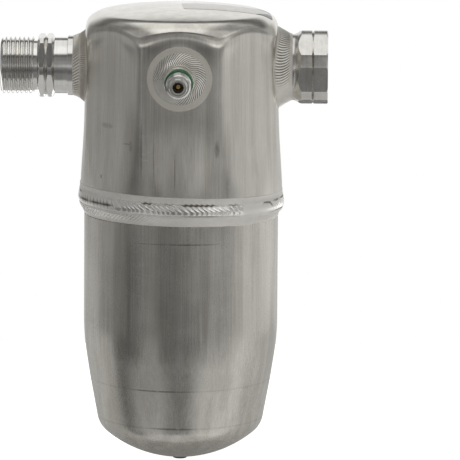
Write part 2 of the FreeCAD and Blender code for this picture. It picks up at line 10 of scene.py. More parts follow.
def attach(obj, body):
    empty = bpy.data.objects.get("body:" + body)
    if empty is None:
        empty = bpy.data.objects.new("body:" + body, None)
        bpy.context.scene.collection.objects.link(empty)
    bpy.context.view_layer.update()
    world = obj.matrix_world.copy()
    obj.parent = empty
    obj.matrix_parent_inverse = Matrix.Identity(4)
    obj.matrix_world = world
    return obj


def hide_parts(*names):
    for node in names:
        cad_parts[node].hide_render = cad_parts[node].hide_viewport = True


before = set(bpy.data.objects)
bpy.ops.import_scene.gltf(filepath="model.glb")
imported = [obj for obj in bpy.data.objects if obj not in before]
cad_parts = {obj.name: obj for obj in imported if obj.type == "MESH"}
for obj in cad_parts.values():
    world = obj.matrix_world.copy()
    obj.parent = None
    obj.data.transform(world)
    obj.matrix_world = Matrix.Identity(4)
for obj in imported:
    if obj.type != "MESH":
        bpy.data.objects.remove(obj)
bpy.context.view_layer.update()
print("frame loaded")

metre = 0.001   # metres in a millimetre
fittingHeight = 100.15
fullTurn = 2 * np.pi


def addObject(name, data):
    made = bpy.data.objects.new(name, data)
    bpy.context.scene.collection.objects.link(made)
    return made


def spread(*parts):
    # Points from their three coordinates, which may be any shapes that fit each other
    return np.stack(np.broadcast_arrays(*parts), -1)


def around(radius, angle, z):
    # Points round the can's axis
    return spread(radius * np.cos(angle), radius * np.sin(angle), z)


# Shader boards. A wire is a number or colour on its way through a material's nodes.
class Wire:
    def __init__(self, board, socket):
        self.board = board
        self.socket = socket

    def math(self, operation, *others):
        return self.board.node("Math", {"operation": operation}, dict(enumerate([self, *others])))

    def __add__(self, other):
        return self.math("ADD", other)

    def __sub__(self, other):
        return self.math("SUBTRACT", other)

    def __rsub__(self, other):
        return (self * -1).math("ADD", other)

    def __mul__(self, other):
        return self.math("MULTIPLY", other)

    def __truediv__(self, other):
        return self.math("DIVIDE", other)

    def __pow__(self, other):
        return self.math("POWER", other)

    __radd__ = __add__
    __rmul__ = __mul__

    def size(self):
        return self.math("ABSOLUTE")

    def step(self, low, high):
        # Smooth rise from 0 at low to 1 at high, and the other way round when low is the larger
        return self.board.node("MapRange", {"interpolation_type": "SMOOTHSTEP"},
                               {"Value": self, "From Min": low, "From Max": high})

    def band(self, low, high, soft):
        # 1 between low and high, with soft edges
        return self.step(low - soft, low + soft) * self.step(high + soft, high - soft)


class Board:
    def __init__(self, owner):
        self.owner = owner
        owner.use_nodes = True
        self.tree = owner.node_tree
        self.tree.nodes.clear()

    def plug(self, socket, value):
        if isinstance(value, Wire):
            self.tree.links.new(value.socket, socket)
        else:
            socket.default_value = value

    def node(self, kind, settings=None, sockets=None, out=0):
        made = self.tree.nodes.new("ShaderNode" + kind)
        for name, value in (settings or {}).items():
            setattr(made, name, value)
        for name, value in (sockets or {}).items():
            self.plug(made.inputs[name], value)
        return Wire(self, made.outputs[out]) if made.outputs else made

    def parts(self, vector):
        # The three numbers of a vector
        first = self.node("SeparateXYZ", None, {"Vector": vector})
        return [Wire(self, socket) for socket in first.socket.node.outputs]

    def place(self, stretch):
        # Object coordinates in millimetres times the stretch
        spot = self.node("TexCoord", None, None, "Object")
        return self.node("Mapping", None, {"Vector": spot, "Scale": [s / metre for s in stretch]})

    def spots(self):
        return self.parts(self.place((1, 1, 1)))

    def noise(self, size, detail=3.0, roughness=0.55, stretch=(1, 1, 1), bend=0.0):
        # Cloudy number round one half, blotches about size millimetres across before the stretch
        where = self.place([s / size for s in stretch])
        return self.node("TexNoise", None, {"Vector": where, "Scale": 1.0, "Detail": detail,
                                                      "Roughness": roughness, "Distortion": bend})

    def hairs(self, width, *how):
        # Thin wandering lines, where a noise passes its middle
        return (self.noise(*how) - 0.5).size().step(width, 0.0)

    def cells(self, size):
        return self.node("TexVoronoi", None, {"Vector": self.place([1 / size] * 3), "Scale": 1.0})

    def blend(self, share, first, second):
        # Colours go through a Mix node
        return self.node("Mix", {"data_type": "RGBA"}, {0: share, 6: first, 7: second}, 2)

    def finish(self, colour, roughness, relief=None, metallic=0.0, more=None):
        # relief is a height in millimetres. Gives the finished material.
        sockets = {"Base Color": colour, "Roughness": roughness, "Metallic": metallic, **(more or {})}
        if relief is not None:
            sockets["Normal"] = self.node("Bump", None, {"Height": relief, "Distance": metre})
        shader = self.node("BsdfPrincipled", None, sockets)
        self.node("OutputMaterial", None, {"Surface": shader})
        return self.owner


def tone(red, green, blue):
    # A screen colour, 0 to 255, as the linear colour that a socket takes
    return (*[((c / 255 + 0.055) / 1.055) ** 2.4 if c > 10 else c / 3294 for c in (red, green, blue)], 1.0)


def newFinish(name):
    return Board(bpy.data.materials.new(name))


# Camera, at the photograph's angle
cameraSet = {"distance": 2.817, "turn": 1.3, "rise": 9.4, "roll": 0.36, "aim": (0, 0, 0.02115),
             "aside": 0.0234, "lens": 461.2, "sensor": 36.0, "clipEnd": 20}


def makeCamera():
    turn, rise = math.radians(cameraSet["turn"]), math.radians(cameraSet["rise"])
    aim = Vector(cameraSet["aim"])
    away = Vector((math.sin(turn) * math.cos(rise), -math.cos(turn) * math.cos(rise), math.sin(rise)))
    target = aim + cameraSet["aside"] * Vector((math.cos(turn), math.sin(turn), 0))
    data = bpy.data.cameras.new("camera")
    data.lens, data.sensor_width = cameraSet["lens"], cameraSet["sensor"]
    data.clip_end = cameraSet["clipEnd"]
    camera = addObject("camera", data)
    camera.location = aim + cameraSet["distance"] * away
    aimed = (target - camera.location).to_track_quat("-Z", "Y")
    camera.rotation_mode = "QUATERNION"
    camera.rotation_quaternion = aimed @ Quaternion((0, 0, 1), math.radians(cameraSet["roll"]))
    bpy.context.scene.camera = camera


# Studio: flat lights seen from the can, all soft at their edges. A row of wall lights has its low and
# high elevation, and each light in it the azimuth of its middle, from the camera's side towards +X,
# its half width and its strength. A row of ceiling lights has its front and back, and each light its
# sides and its strength, all as parts of their height.
studio = {
    "around": 0.13,
    "soft": (9.0, 5.0, 0.12),
    "overhead": (0.1, 0.2),
    "walls": [
        (-90, -58, [(0, 180, 0.41)]),
        (-60, -26, [(-45, 25, 0.33), (0, 20, 0.07), (45, 25, 0.56)]),
        (-60, -12, [(-92, 24, 0.01), (92, 24, 0.55), (-142, 28, 1.44), (142, 28, 1.63)]),
        (-26, -12, [(-58, 16, 0.01), (64, 18, 0.22)]),
        (-25, -11, [(-35, 6, 0.51), (36, 8, 0.38)]),
        (-12, -2, [(0, 14, 0.08), (38, 24, 0.08)]),
        (-12, 8, [(-92, 24, 0.22), (92, 24, 0.46)]),
        (-12, 26, [(-132, 20, 0.10), (132, 20, 0.33)]),
        (-8, 26, [(180, 30, 0.85)]),
        (-2, 8, [(-36, 22, 0.65), (0, 14, 0.30), (38, 24, 1.01)]),
        (8, 24, [(-42, 28, 0.17), (0, 14, 0.16), (45, 31, 0.53)]),
        (8, 30, [(-92, 24, 0.09), (92, 24, 0.16)]),
        (24, 40, [(-45, 45, 0.09), (45, 45, 0.26)]),
        (41, 54, [(180, 60, 0.15)]),
    ],
    "ceilings": [
        (-0.75, 0.0, [(-1.6, -0.45, 0.27), (-0.45, 0.3, 0.99), (0.3, 1.6, 0.47)]),
        (0.0, 0.84, [(-1.6, -0.45, 0.11), (-0.45, 0.3, 0.81), (0.3, 1.6, 0.22)]),
    ],
}


def lightStudio():
    world = bpy.data.worlds.new("studio")
    bpy.context.scene.world = world
    board = Board(world)
    aside, back, up = board.parts(board.node("TexCoord", None, None, "Generated"))
    azimuth = aside.math("ARCTAN2", back * -1) * (180 / math.pi)
    rise = up.math("ARCSINE") * (180 / math.pi)
    sideSoft, riseSoft, topSoft = studio["soft"]
    level = studio["around"]
    for low, high, lights in studio["walls"]:
        inRow = rise.band(low, high, riseSoft)
        for middle, half, strength in lights:
            off = (azimuth - middle).math("WRAP", 180, -180).size()
            level = off.step(half + sideSoft, half - sideSoft) * inRow * strength + level
    planAside, planBack = aside / up, back / up
    for front, rear, lights in studio["ceilings"]:
        inRow = planBack.band(front, rear, topSoft) * up.step(*studio["overhead"])
        for left, right, strength in lights:
            level = planAside.band(left, right, topSoft) * inRow * strength + level
    seen = board.node("LightPath", None, None, "Is Camera Ray")
    light, white = [board.node("Background", None, {"Color": (1, 1, 1, 1), "Strength": strength})
                    for strength in (level, 1.0)]
    board.node("OutputWorld", None, {"Surface": board.node("MixShader", None, {0: seen, 1: light, 2: white})})


floorSet = {"height": -0.08985, "aside": 0.32, "front": -0.032, "back": 0.3, "shade": 0.8,
            "lifts": [("Is Glossy Ray", 0.13), ("Is Camera Ray", 0.97)]}


def layFloor():
    # White paper, with a glow added for some kinds of ray so that it shows as white as the backdrop
    mesh = bpy.data.meshes.new("floor")
    corners = [(side * floorSet["aside"], floorSet[edge], floorSet["height"])
               for side, edge in ((-1, "front"), (1, "front"), (1, "back"), (-1, "back"))]
    mesh.from_pydata(corners, [], [(0, 1, 2, 3)])
    board = newFinish("floorPaper")
    paper = board.node("BsdfDiffuse", None, {"Color": (*[floorSet["shade"]] * 3, 1)})
    shown = paper
    for kind, strength in floorSet["lifts"]:
        glow = board.node("Emission", None, {"Strength": strength})
        lifted = board.node("AddShader", None, {0: paper, 1: glow})
        ray = board.node("LightPath", None, None, kind)
        shown = board.node("MixShader", None, {0: ray, 1: shown, 2: lifted})
    board.node("OutputMaterial", None, {"Surface": shown})
    mesh.materials.append(board.owner)
    addObject("floor", mesh)


makeCamera()
lightStudio()
layFloor()
print("camera, studio and floor set")


# Mesh helpers
def gridQuads(rows, columns, shift=0, ringed=False, sideways=True):
    # Four-sided faces of a grid. Sideways the last column joins the first, shift rows on, and a
    # ringed grid's last row joins its first row too.
    row = np.arange(rows if ringed else rows - 1)[:, None]
    column = np.arange(columns if sideways else columns - 1)[None, :]
    beside = (column + 1) % columns
    moved = np.where(column == columns - 1, shift, 0)
    above = (row + 1) % rows
    right = np.clip(row + moved, 0, rows - 1)
    rightAbove = np.clip(above + moved, 0, rows - 1)
    quads = np.stack([row * columns + column, right * columns + beside,
                      rightAbove * columns + beside, above * columns + column], -1).reshape(-1, 4)
    ordered = np.sort(quads, 1)
    return quads[(np.diff(ordered, axis=1) > 0).all(1)]


def patch(points, **how):
    # A grid of points, rows by columns by three, and its faces
    return {"points": points.reshape(-1, 3), "quads": gridQuads(*points.shape[:2], **how)}


def softPath(corners, steps=5):
    # Path through corners (along, radius, rounding). A rounding is the length cut from both sides of
    # a corner, which a quadratic curve with the corner as its middle control point then joins.
    spots = np.array([corner[:2] for corner in corners], float)
    out = []
    for place, (spot, corner) in enumerate(zip(spots, corners)):
        if corner[2] <= 0 or place in (0, len(corners) - 1):
            out.append(spot[None])
            continue
        start, end = [spot + way * min(corner[2] / np.linalg.norm(way), 0.49)
                      for way in (spots[place - 1] - spot, spots[place + 1] - spot)]
        t = np.linspace(0, 1, steps)[:, None]
        out.append((1 - t) ** 2 * start + 2 * t * (1 - t) * spot + t ** 2 * end)
    return np.concatenate(out)


def runs(*spans):
    # Even steps through spans (low, high, count), without the last one's end
    return np.concatenate([np.linspace(low, high, count + 1)[:-1] for low, high, count in spans])


def fillPath(path, step):
    # More points on the sloping parts of a path, so that what cuts them is a smooth line
    out = [path[:1]]
    for start, end in zip(path[:-1], path[1:]):
        sloping = min(abs(end - start)) > 1e-4
        count = max(1, math.ceil(np.linalg.norm(end - start) / step)) if sloping else 1
        out.append(start + (end - start) * np.linspace(0, 1, count + 1)[1:, None])
    return np.concatenate(out)


def joined(patches):
    # All the patches' points, in metres, and their faces
    starts = np.cumsum([0] + [len(p["points"]) for p in patches[:-1]])
    return (np.concatenate([p["points"] for p in patches]) * metre,
            np.concatenate([p["quads"] + start for p, start in zip(patches, starts)]).tolist())


mergeWithin = {"doubles": 2e-6, "slivers": 1e-7}   # metres


def addMesh(name, points, faces, gloss=None):
    # Object with its doubles merged and its normals outward
    mesh = bpy.data.meshes.new(name)
    mesh.from_pydata(points.tolist(), [], faces)
    if gloss is not None:
        values = mesh.attributes.new("gloss", "FLOAT", "POINT").data
        values.foreach_set("value", gloss.astype(np.float32).ravel())
    work = bmesh.new()
    work.from_mesh(mesh)
    bmesh.ops.remove_doubles(work, verts=work.verts, dist=mergeWithin["doubles"])
    bmesh.ops.dissolve_degenerate(work, dist=mergeWithin["slivers"], edges=work.edges)
    bmesh.ops.recalc_face_normals(work, faces=work.faces)
    work.to_mesh(mesh)
    work.free()
    return addObject(name, mesh)


def buildPiece(name, patches, finish, slotName, node, sharp, gloss=None, cutter=None):
    # One closed piece from its patches, with sharp edges by angle, in place of a node
    piece = addMesh(name, *joined(patches), gloss)
    if cutter is not None:
        cut = piece.modifiers.new("holes", "BOOLEAN")
        cut.operation, cut.solver, cut.object = "DIFFERENCE", "EXACT", cutter
        holed = piece.evaluated_get(bpy.context.evaluated_depsgraph_get())
        piece.data = bpy.data.meshes.new_from_object(holed)
        piece.modifiers.clear()
        bpy.data.objects.remove(cutter)
    piece.data.shade_smooth()
    piece.data.set_sharp_from_angle(angle=math.radians(sharp))
    piece.data.materials.clear()
    piece.data.materials.append(finish)
    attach(piece, "can")
    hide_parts(node)
    check = bmesh.new()
    check.from_mesh(piece.data)
    openEdges = sum(not edge.is_manifold for edge in check.edges)
    volume = round(check.calc_volume() / metre ** 3)
    print(name, len(check.faces), "faces,", openEdges, "open edges, volume", volume, "mm3")
    check.free()
    return piece


# Places round the three fittings' axes, which meet the can's axis at one height
def toInlet(along, radius, angle):
    return spread(along, -radius * np.cos(angle), fittingHeight + radius * np.sin(angle))


def toOutlet(along, radius, angle):
    return toInlet(-along, radius, angle)


def toPort(along, radius, angle):
    return spread(radius * np.cos(angle), -along, fittingHeight + radius * np.sin(angle))


def evenAngles(count):
    return np.arange(count) * fullTurn / count


# Upper shell: a round cup, skirt, shoulder and dome, with eight flats pressed into it
upperSet = {"radius": 48.2, "wall": 2.5, "lip": 37.5, "shoulder": 12.5, "dome": 228.0, "apex": 129.55,
            "flats": 8, "flatHalf": 46.5, "flatLow": 80.15, "draft": 1.364, "runOut": 175.0,
            "blend": 5.0, "push": 0.35, "archHalf": 17.0, "archFoot": 105.0, "archRise": 15.5,
            "archPush": 2.0, "archSoft": (0.7, 1.35), "columns": 352, "rodSides": 128}
shoulderCore = upperSet["radius"] - upperSet["shoulder"]
domeCentre = upperSet["apex"] - upperSet["dome"]
shoulderTilt = math.asin(shoulderCore / (upperSet["dome"] - upperSet["shoulder"]))
shoulderStart = domeCentre + (upperSet["dome"] - upperSet["shoulder"]) * math.cos(shoulderTilt)


def envelopeRadius(z, inset=0.0):
    # Round cup's radius at a height: the skirt, then the shoulder's circle, then the dome's circle
    shoulder, dome = upperSet["shoulder"] - inset, upperSet["dome"] - inset
    bend = shoulderCore + np.sqrt(np.clip(shoulder ** 2 - (z - shoulderStart) ** 2, 0, None))
    top = np.sqrt(np.clip(dome ** 2 - (z - domeCentre) ** 2, 0, None))
    low = np.where(z < shoulderStart, upperSet["radius"] - inset, bend)
    return np.where(z > shoulderStart + shoulder * math.cos(shoulderTilt), top, low)


def flatDistance(z):
    # Distance of a flat from the axis at a height: a drafted plane that runs out on a circle below
    draft, foot = math.radians(upperSet["draft"]), upperSet["flatLow"]
    centre = upperSet["flatHalf"] + upperSet["runOut"] * math.cos(draft)
    height = foot + upperSet["runOut"] * math.sin(draft)
    run = centre - np.sqrt(np.clip(upperSet["runOut"] ** 2 - (z - height) ** 2, 0, None))
    return np.where(z > foot, upperSet["flatHalf"] - (z - foot) * math.tan(draft), run)


def softStep(value, low, high):
    # Smooth rise from 0 at low to 1 at high
    t = np.clip((value - low) / (high - low), 0, 1)
    return t * t * (3 - 2 * t)


def softLeast(first, second, width):
    # The smaller of two, rounded off where they are within width of each other
    near = np.clip(1 - np.abs(first - second) / width, 0, None)
    return np.minimum(first, second) - near ** 2 * width / 4


def shellRadius(angle, z, plain, inset=0.0):
    # Radius of the pressed cup: the softer of its round radius and the nearest flat. A flat ends in
    # an arch, past which it is pushed out so that the round cup shows.
    share = fullTurn / upperSet["flats"]
    off = (angle + share / 2) % share - share / 2
    beside = off * upperSet["radius"] / upperSet["archHalf"]
    above = np.clip(z - upperSet["archFoot"], 0, None) / upperSet["archRise"]
    past = softStep(np.hypot(beside, above), *upperSet["archSoft"])
    push = upperSet["push"] + upperSet["archPush"] * past
    return softLeast(plain, (flatDistance(z) - inset + push) / np.cos(off), upperSet["blend"])


def shellSurface(angle, z):
    return shellRadius(angle, z, envelopeRadius(z))


def upperRows(inset, skirt, shoulder, dome):
    # Heights and round radii of the rows from the lip to the middle of the dome
    turn = np.linspace(math.pi / 2, shoulderTilt, shoulder)[1:]
    bendRadius = shoulderCore + (upperSet["shoulder"] - inset) * np.sin(turn)
    bendHeight = shoulderStart + (upperSet["shoulder"] - inset) * np.cos(turn)
    tilt = shoulderTilt * np.linspace(1, 0, dome)[1:]
    topRadius = (upperSet["dome"] - inset) * np.sin(tilt)
    topHeight = domeCentre + (upperSet["dome"] - inset) * np.cos(tilt)
    low = np.linspace(upperSet["lip"], shoulderStart, skirt)
    side = np.full(skirt, upperSet["radius"] - inset)
    return (np.concatenate([low, bendHeight, topHeight])[:, None],
            np.concatenate([side, bendRadius, topRadius])[:, None])


def shellPoints(inset, skirt, shoulder, dome):
    angle = evenAngles(upperSet["columns"])[None, :]
    z, plain = upperRows(inset, skirt, shoulder, dome)
    return around(shellRadius(angle, z, plain, inset), angle, z)


def holeCutter():
    # One rod through both sides for the inlet and outlet, and one rod at the front for the port
    sides = upperSet["rodSides"]
    angle = evenAngles(sides)[None, :]
    rods = [patch(place(np.array([[start], [end]]), radius, angle)) for place, start, end, radius in
            ((toInlet, -60.0, 60.0, 11.65), (toPort, 20.0, 60.0, 5.55))]
    points, faces = joined(rods)
    faces += [list(range(at, at + sides)) for at in range(0, 4 * sides, sides)]
    return addMesh("holeCutter", points, faces)


def shellFinish(name, light, dark, rough, worn):
    # Drawn aluminium: upright draw lines, cloudy tarnish, small scratches and rubbed marks, with painted
    # shade on some marks and lines and painted dark reflections in bands
    board = newFinish(name)
    x, y, z = board.spots()
    lines = board.noise(0.55, 4, 0.6, (1, 1, 0.012))
    wide = board.noise(5.0, 2, 0.5, (1, 1, 0.06))
    cloud = board.noise(22.0, 4, 0.6)
    grain = board.noise(0.35, 2, 0.5)
    scratch = board.hairs(0.006, 7.0, 2, 0.5, (1, 1, 0.16), 0.6) * cloud.step(0.5, 0.62)
    cross = board.hairs(0.004, 6.0, 2, 0.5, (0.35, 0.35, 1.6), 0.8) * cloud.step(0.5, 0.38)
    front = y.step(0, -1)
    patchy = board.noise(3.0, 3, 0.6).step(0.3, 0.55) * 0.55 + 0.45

    def ellipses(rows):
        # Soft ellipses on the front, each with its middle, half width, half height and depth
        total = 0.0
        for left, low, wideBy, highBy, depth in rows:
            far = ((x - left) / wideBy) ** 2 + ((z - low) / highBy) ** 2
            total = far.step(1.0, 0.0) * depth + total
        return total * front

    marks = ellipses(worn["marks"]) * patchy
    # Tall soft bands on the front, darkened: painted dark reflections
    paintedReflection = ellipses(worn["darkReflectionBands"])
    # Darkened lines at given heights: painted shade along the creases
    creaseShade = 0.0
    for level, high, depth in worn["lines"]:
        creaseShade = ((z - level) / high).size().step(1.0, 0.0) * patchy * depth + creaseShade
    shade = lines.step(0.3, 0.7) * 0.4 + wide.step(0.35, 0.65) * 0.35 + cloud.step(0.3, 0.7) * 0.25
    colour = board.blend(shade, dark, light)
    colour = board.blend((scratch + cross) * 0.5, colour, tone(225, 222, 214))
    colour = board.blend(paintedReflection * (wide.step(0.3, 0.7) * 0.7 + 0.3), colour, tone(132, 126, 116))
    # Marks and lines take the dark colour: real rubs and scratches, and painted shade at creases and in a
    # dent
    colour = board.blend(marks + creaseShade, colour, tone(62, 58, 52))
    ring, polish = 0.0, 0.0
    if "etched" in worn:
        about = (x * x + (z - fittingHeight) * (z - fittingHeight)) ** 0.5
        ring = about.band(*worn["etched"], 0.12) * front
        polish = z.step(*worn["polish"])
        colour = board.blend(ring * 0.75, colour, tone(226, 222, 210))
    roughness = rough + (cloud - 0.5) * 0.14 + (lines - 0.5) * 0.10 + ring * 0.14
    roughness = roughness + marks * 0.1 - polish * 0.09
    relief = lines * 0.010 + wide * 0.030 + grain * 0.0008
    relief = relief - (scratch + cross) * 0.006 - marks * 0.02 - creaseShade * 0.05
    return board.finish(colour, roughness, relief, 1.0 - ring * 0.6, {"Anisotropic": worn["spread"]})


# Wear as the photograph shows it, with the etched ring round the port and the polished shoulder; the mark at
# 17.7, 66.6 is painted shade in a dent, and the bands are painted dark reflections
upperWear = {
    "marks": [(-17.9, 66.0, 0.42, 19, 0.5), (-12.0, 60.0, 0.4, 14, 0.45), (-2.0, 56.5, 0.4, 12.5, 0.5),
              (17.7, 66.6, 1.5, 5.0, 0.5), (-23.0, 67.5, 1.2, 3.4, 0.25), (-25.0, 68.4, 2.2, 0.6, 0.25),
              (-34.4, 75.8, 3.6, 1.6, 0.25), (-37.2, 51.5, 0.4, 1.4, 0.6)],
    "darkReflectionBands": [(-22.0, 64.0, 5.0, 30, 0.45), (-2.0, 54.0, 5.5, 18, 0.3), (22.5, 60.0, 2.4, 24, 0.25)],
    "lines": [], "etched": (12.4, 15.3), "polish": (106, 120), "spread": 0.5}


def makeUpperShell():
    inner = shellPoints(upperSet["wall"], 16, 8, 8)
    outer = np.concatenate([inner[:1], shellPoints(0.0, 62, 22, 16)])
    finish = shellFinish("pressedShell", tone(228, 225, 217), tone(200, 196, 187), 0.24, upperWear)
    return buildPiece("upperShell", [patch(outer), patch(inner)], finish, "pressed_shell", "upper_shell", 40,
                      cutter=holeCutter())


# Lower shell: a drawn cup, straight, then two tapers, a knuckle and a domed bottom
lowerSet = {"radius": 46.25, "rim": 45.65, "rimTop": 51.5, "wall": 2.0, "landHalf": 30.05,
            "taper": (8.9, 19.5), "secondTaper": (10.4, 19.1), "knuckle": 11.5, "bottom": 55.6,
            "softBend": 9.5, "softCrease": 1.8, "columns": 288}
# Wear of the lower shell: the marks at -49.5 and -68.2 and both lines are painted shade along the creases,
# and the bands are painted dark reflections
lowerWear = {
    "marks": [(-2.0, 21.5, 26, 0.6, 0.3), (6.0, 21.2, 16, 0.5, 0.35), (-9.0, -49.5, 19, 0.55, 0.4),
              (-3.0, -68.2, 13, 0.6, 0.4)],
    "darkReflectionBands": [(-26.0, 0.0, 7.0, 60, 0.6), (12.6, 0.0, 2.6, 34, 0.5), (-6.0, 4.0, 9.0, 60, 0.4),
              (-27.0, -60.0, 9.0, 22, 0.35)],
    "lines": [(-49.4, 0.6, 0.15), (-68.2, 0.7, 0.15)], "spread": 0.6}


def lowerCorners():
    first, second = math.radians(lowerSet["taper"][0]), math.radians(lowerSet["secondTaper"][0])
    bend = np.array([lowerSet["radius"], -lowerSet["landHalf"]])
    crease = bend - [lowerSet["taper"][1] * math.tan(first), lowerSet["taper"][1]]
    start = crease - [lowerSet["secondTaper"][1] * math.tan(second), lowerSet["secondTaper"][1]]
    centre = start + lowerSet["knuckle"] * np.array([-math.cos(second), math.sin(second)])
    rise = math.sqrt((lowerSet["bottom"] - lowerSet["knuckle"]) ** 2 - centre[0] ** 2)
    return bend, crease, start, centre, centre[1] + rise, second


def makeLowerShell():
    bend, crease, start, centre, bottomCentre, second = lowerCorners()
    meeting = math.atan2(centre[1] - bottomCentre, centre[0])
    wall = lowerSet["wall"]

    def curved(inset, steps):
        knuckle, bottom = lowerSet["knuckle"] - inset, lowerSet["bottom"] - inset
        turn = np.linspace(-second, meeting, steps)[:, None]
        low = np.linspace(meeting, -math.pi / 2, steps)[1:, None]
        return np.concatenate([centre + knuckle * np.hstack([np.cos(turn), np.sin(turn)]),
                               [0, bottomCentre] + bottom * np.hstack([np.cos(low), np.sin(low)])])

    rim, land = lowerSet["rim"], lowerSet["landHalf"]
    outside = softPath([(rim, lowerSet["rimTop"], 0), (rim, land, 0), (lowerSet["radius"], land, 0),
                        (*bend, lowerSet["softBend"]), (*crease, lowerSet["softCrease"]), (*start, 0)], 9)
    # Inside, each bend sits a little higher, so that the wall keeps its thickness
    inside = np.array([(lowerSet["radius"] - wall, lowerSet["rimTop"]), (bend[0] - wall, bend[1] + 0.15),
                       (crease[0] - wall, crease[1] + 0.33)])
    path = np.concatenate([curved(wall, 10)[::-1], inside[::-1], outside[:-1], curved(0.0, 22)])
    angle = evenAngles(lowerSet["columns"])[None, :]
    points = around(path[:, :1], angle, path[:, 1:])
    finish = shellFinish("drawnShell", tone(226, 223, 215), tone(190, 186, 177), 0.27, lowerWear)
    return buildPiece("lowerShell", [patch(points)], finish, "drawn_shell", "lower_shell", 30)


makeUpperShell()
makeLowerShell()
print("shells pressed and drawn")


# Girth weld over the upper shell's lip: a matte band, a jagged groove, glossy slanted scales, a second
# groove and a matte ridge down to the toe. Distances are counted down from the lip's line, and
# directions are degrees from +X. Four numbers are where something starts, is full, is full still and
# has ended.
girthSet = {"scales": 110, "perScale": 12, "slant": 1.05, "height": 0.21, "scalesEnd": (7.9, 8.8),
            "lowScales": 130, "lowSlant": -1.8, "lowHeight": 0.2, "lowRun": (8.9, 9.6, 11.6, 13.4),
            "lipTop": (43.55, -1.5, -0.7), "toe": (29.3, -0.68, -0.75), "drop": 14.0,
            "knots": [(0, 48.04), (0.15, 48.12), (0.35, 48.32), (1.2, 48.30), (2.5, 48.42), (3.2, 48.66),
                      (4, 48.74), (5.5, 49.02), (6.5, 49.08), (8, 48.88), (9, 48.66), (10, 48.36),
                      (11, 47.70), (12.3, 46.92), (13.3, 46.52), (14, 46.18)],
            "groove": (3.5, 0.22, 0.34), "lowGroove": (8.65, 0.20, 0.34), "leftGroove": 6.2,
            "leftRun": (-176, -158, -135, -123), "toLeft": (60, 125, 160, 178),
            "lump": (-42.0, 24.0), "lumpHeight": 0.22, "lumpRun": (1.5, 4, 9.5, 12.5),
            "cluster": (-57.0, 6.0), "crater": (-32.5, 5.9), "craterDepth": 0.65,
            "lap": (-40.5, -38.5, -6, 8), "lapRun": (10.2, 10.7, 12.6, 13.5), "lapDepth": 0.30}


def weldFinish(name, light, dark, warm):
    # Cast-looking bead: the gloss attribute runs from 1, frozen bright, over 0, matte, to -1, stained and
    # painted shade in grooves and valleys
    board = newFinish(name)
    frozen = board.node("Attribute", {"attribute_name": "gloss"}, None, "Fac")
    gloss, stainAndShade = frozen.math("MAXIMUM", 0.0), (frozen * -1).math("MAXIMUM", 0.0)
    cloud = board.noise(4.5, 4, 0.6)
    grain = board.noise(0.28, 3, 0.6)
    shade = gloss * 0.6 + cloud.step(0.35, 0.65) * 0.4
    colour = board.blend(shade, dark, light)
    colour = board.blend(grain.step(0.56, 0.66) * 0.30, colour, warm)
    # Dark where the gloss is below 0: stains and painted shade
    colour = board.blend(stainAndShade * 0.9, colour, tone(74, 66, 54))
    roughness = 0.50 - gloss * 0.37 + (grain - 0.5) * 0.10
    return board.finish(colour, roughness, grain * 0.010 + cloud * 0.02, 0.4 + gloss * 0.6)


def hump(value, middle, width):
    return np.exp(-((value - middle) / width) ** 2)


def girthRows():
    rows = runs((0, 0.6, 6), (0.6, 3.0, 6), (3.0, 4.2, 9), (4.2, 8.2, 15), (8.2, 9.2, 9), (9.2, 12.6, 9),
                (12.6, 14, 6))
    return np.append(rows, girthSet["drop"])[:, None]


def girthProfile(drop):
    # Radius of the plain bead: straight lines between knots, smoothed over half a millimetre
    dense = np.linspace(0, girthSet["drop"], 281)
    window = np.hanning(13) / np.hanning(13).sum()
    plain = np.interp(dense, *np.array(girthSet["knots"], float).T)
    return np.interp(drop, dense, np.convolve(np.pad(plain, 6, "edge"), window, "valid"))


def between(value, start, full, fullEnd, end):
    # 1 from full to fullEnd, with smooth falls to 0 at start and at end
    return softStep(value, start, full) * softStep(value, end, fullEnd)


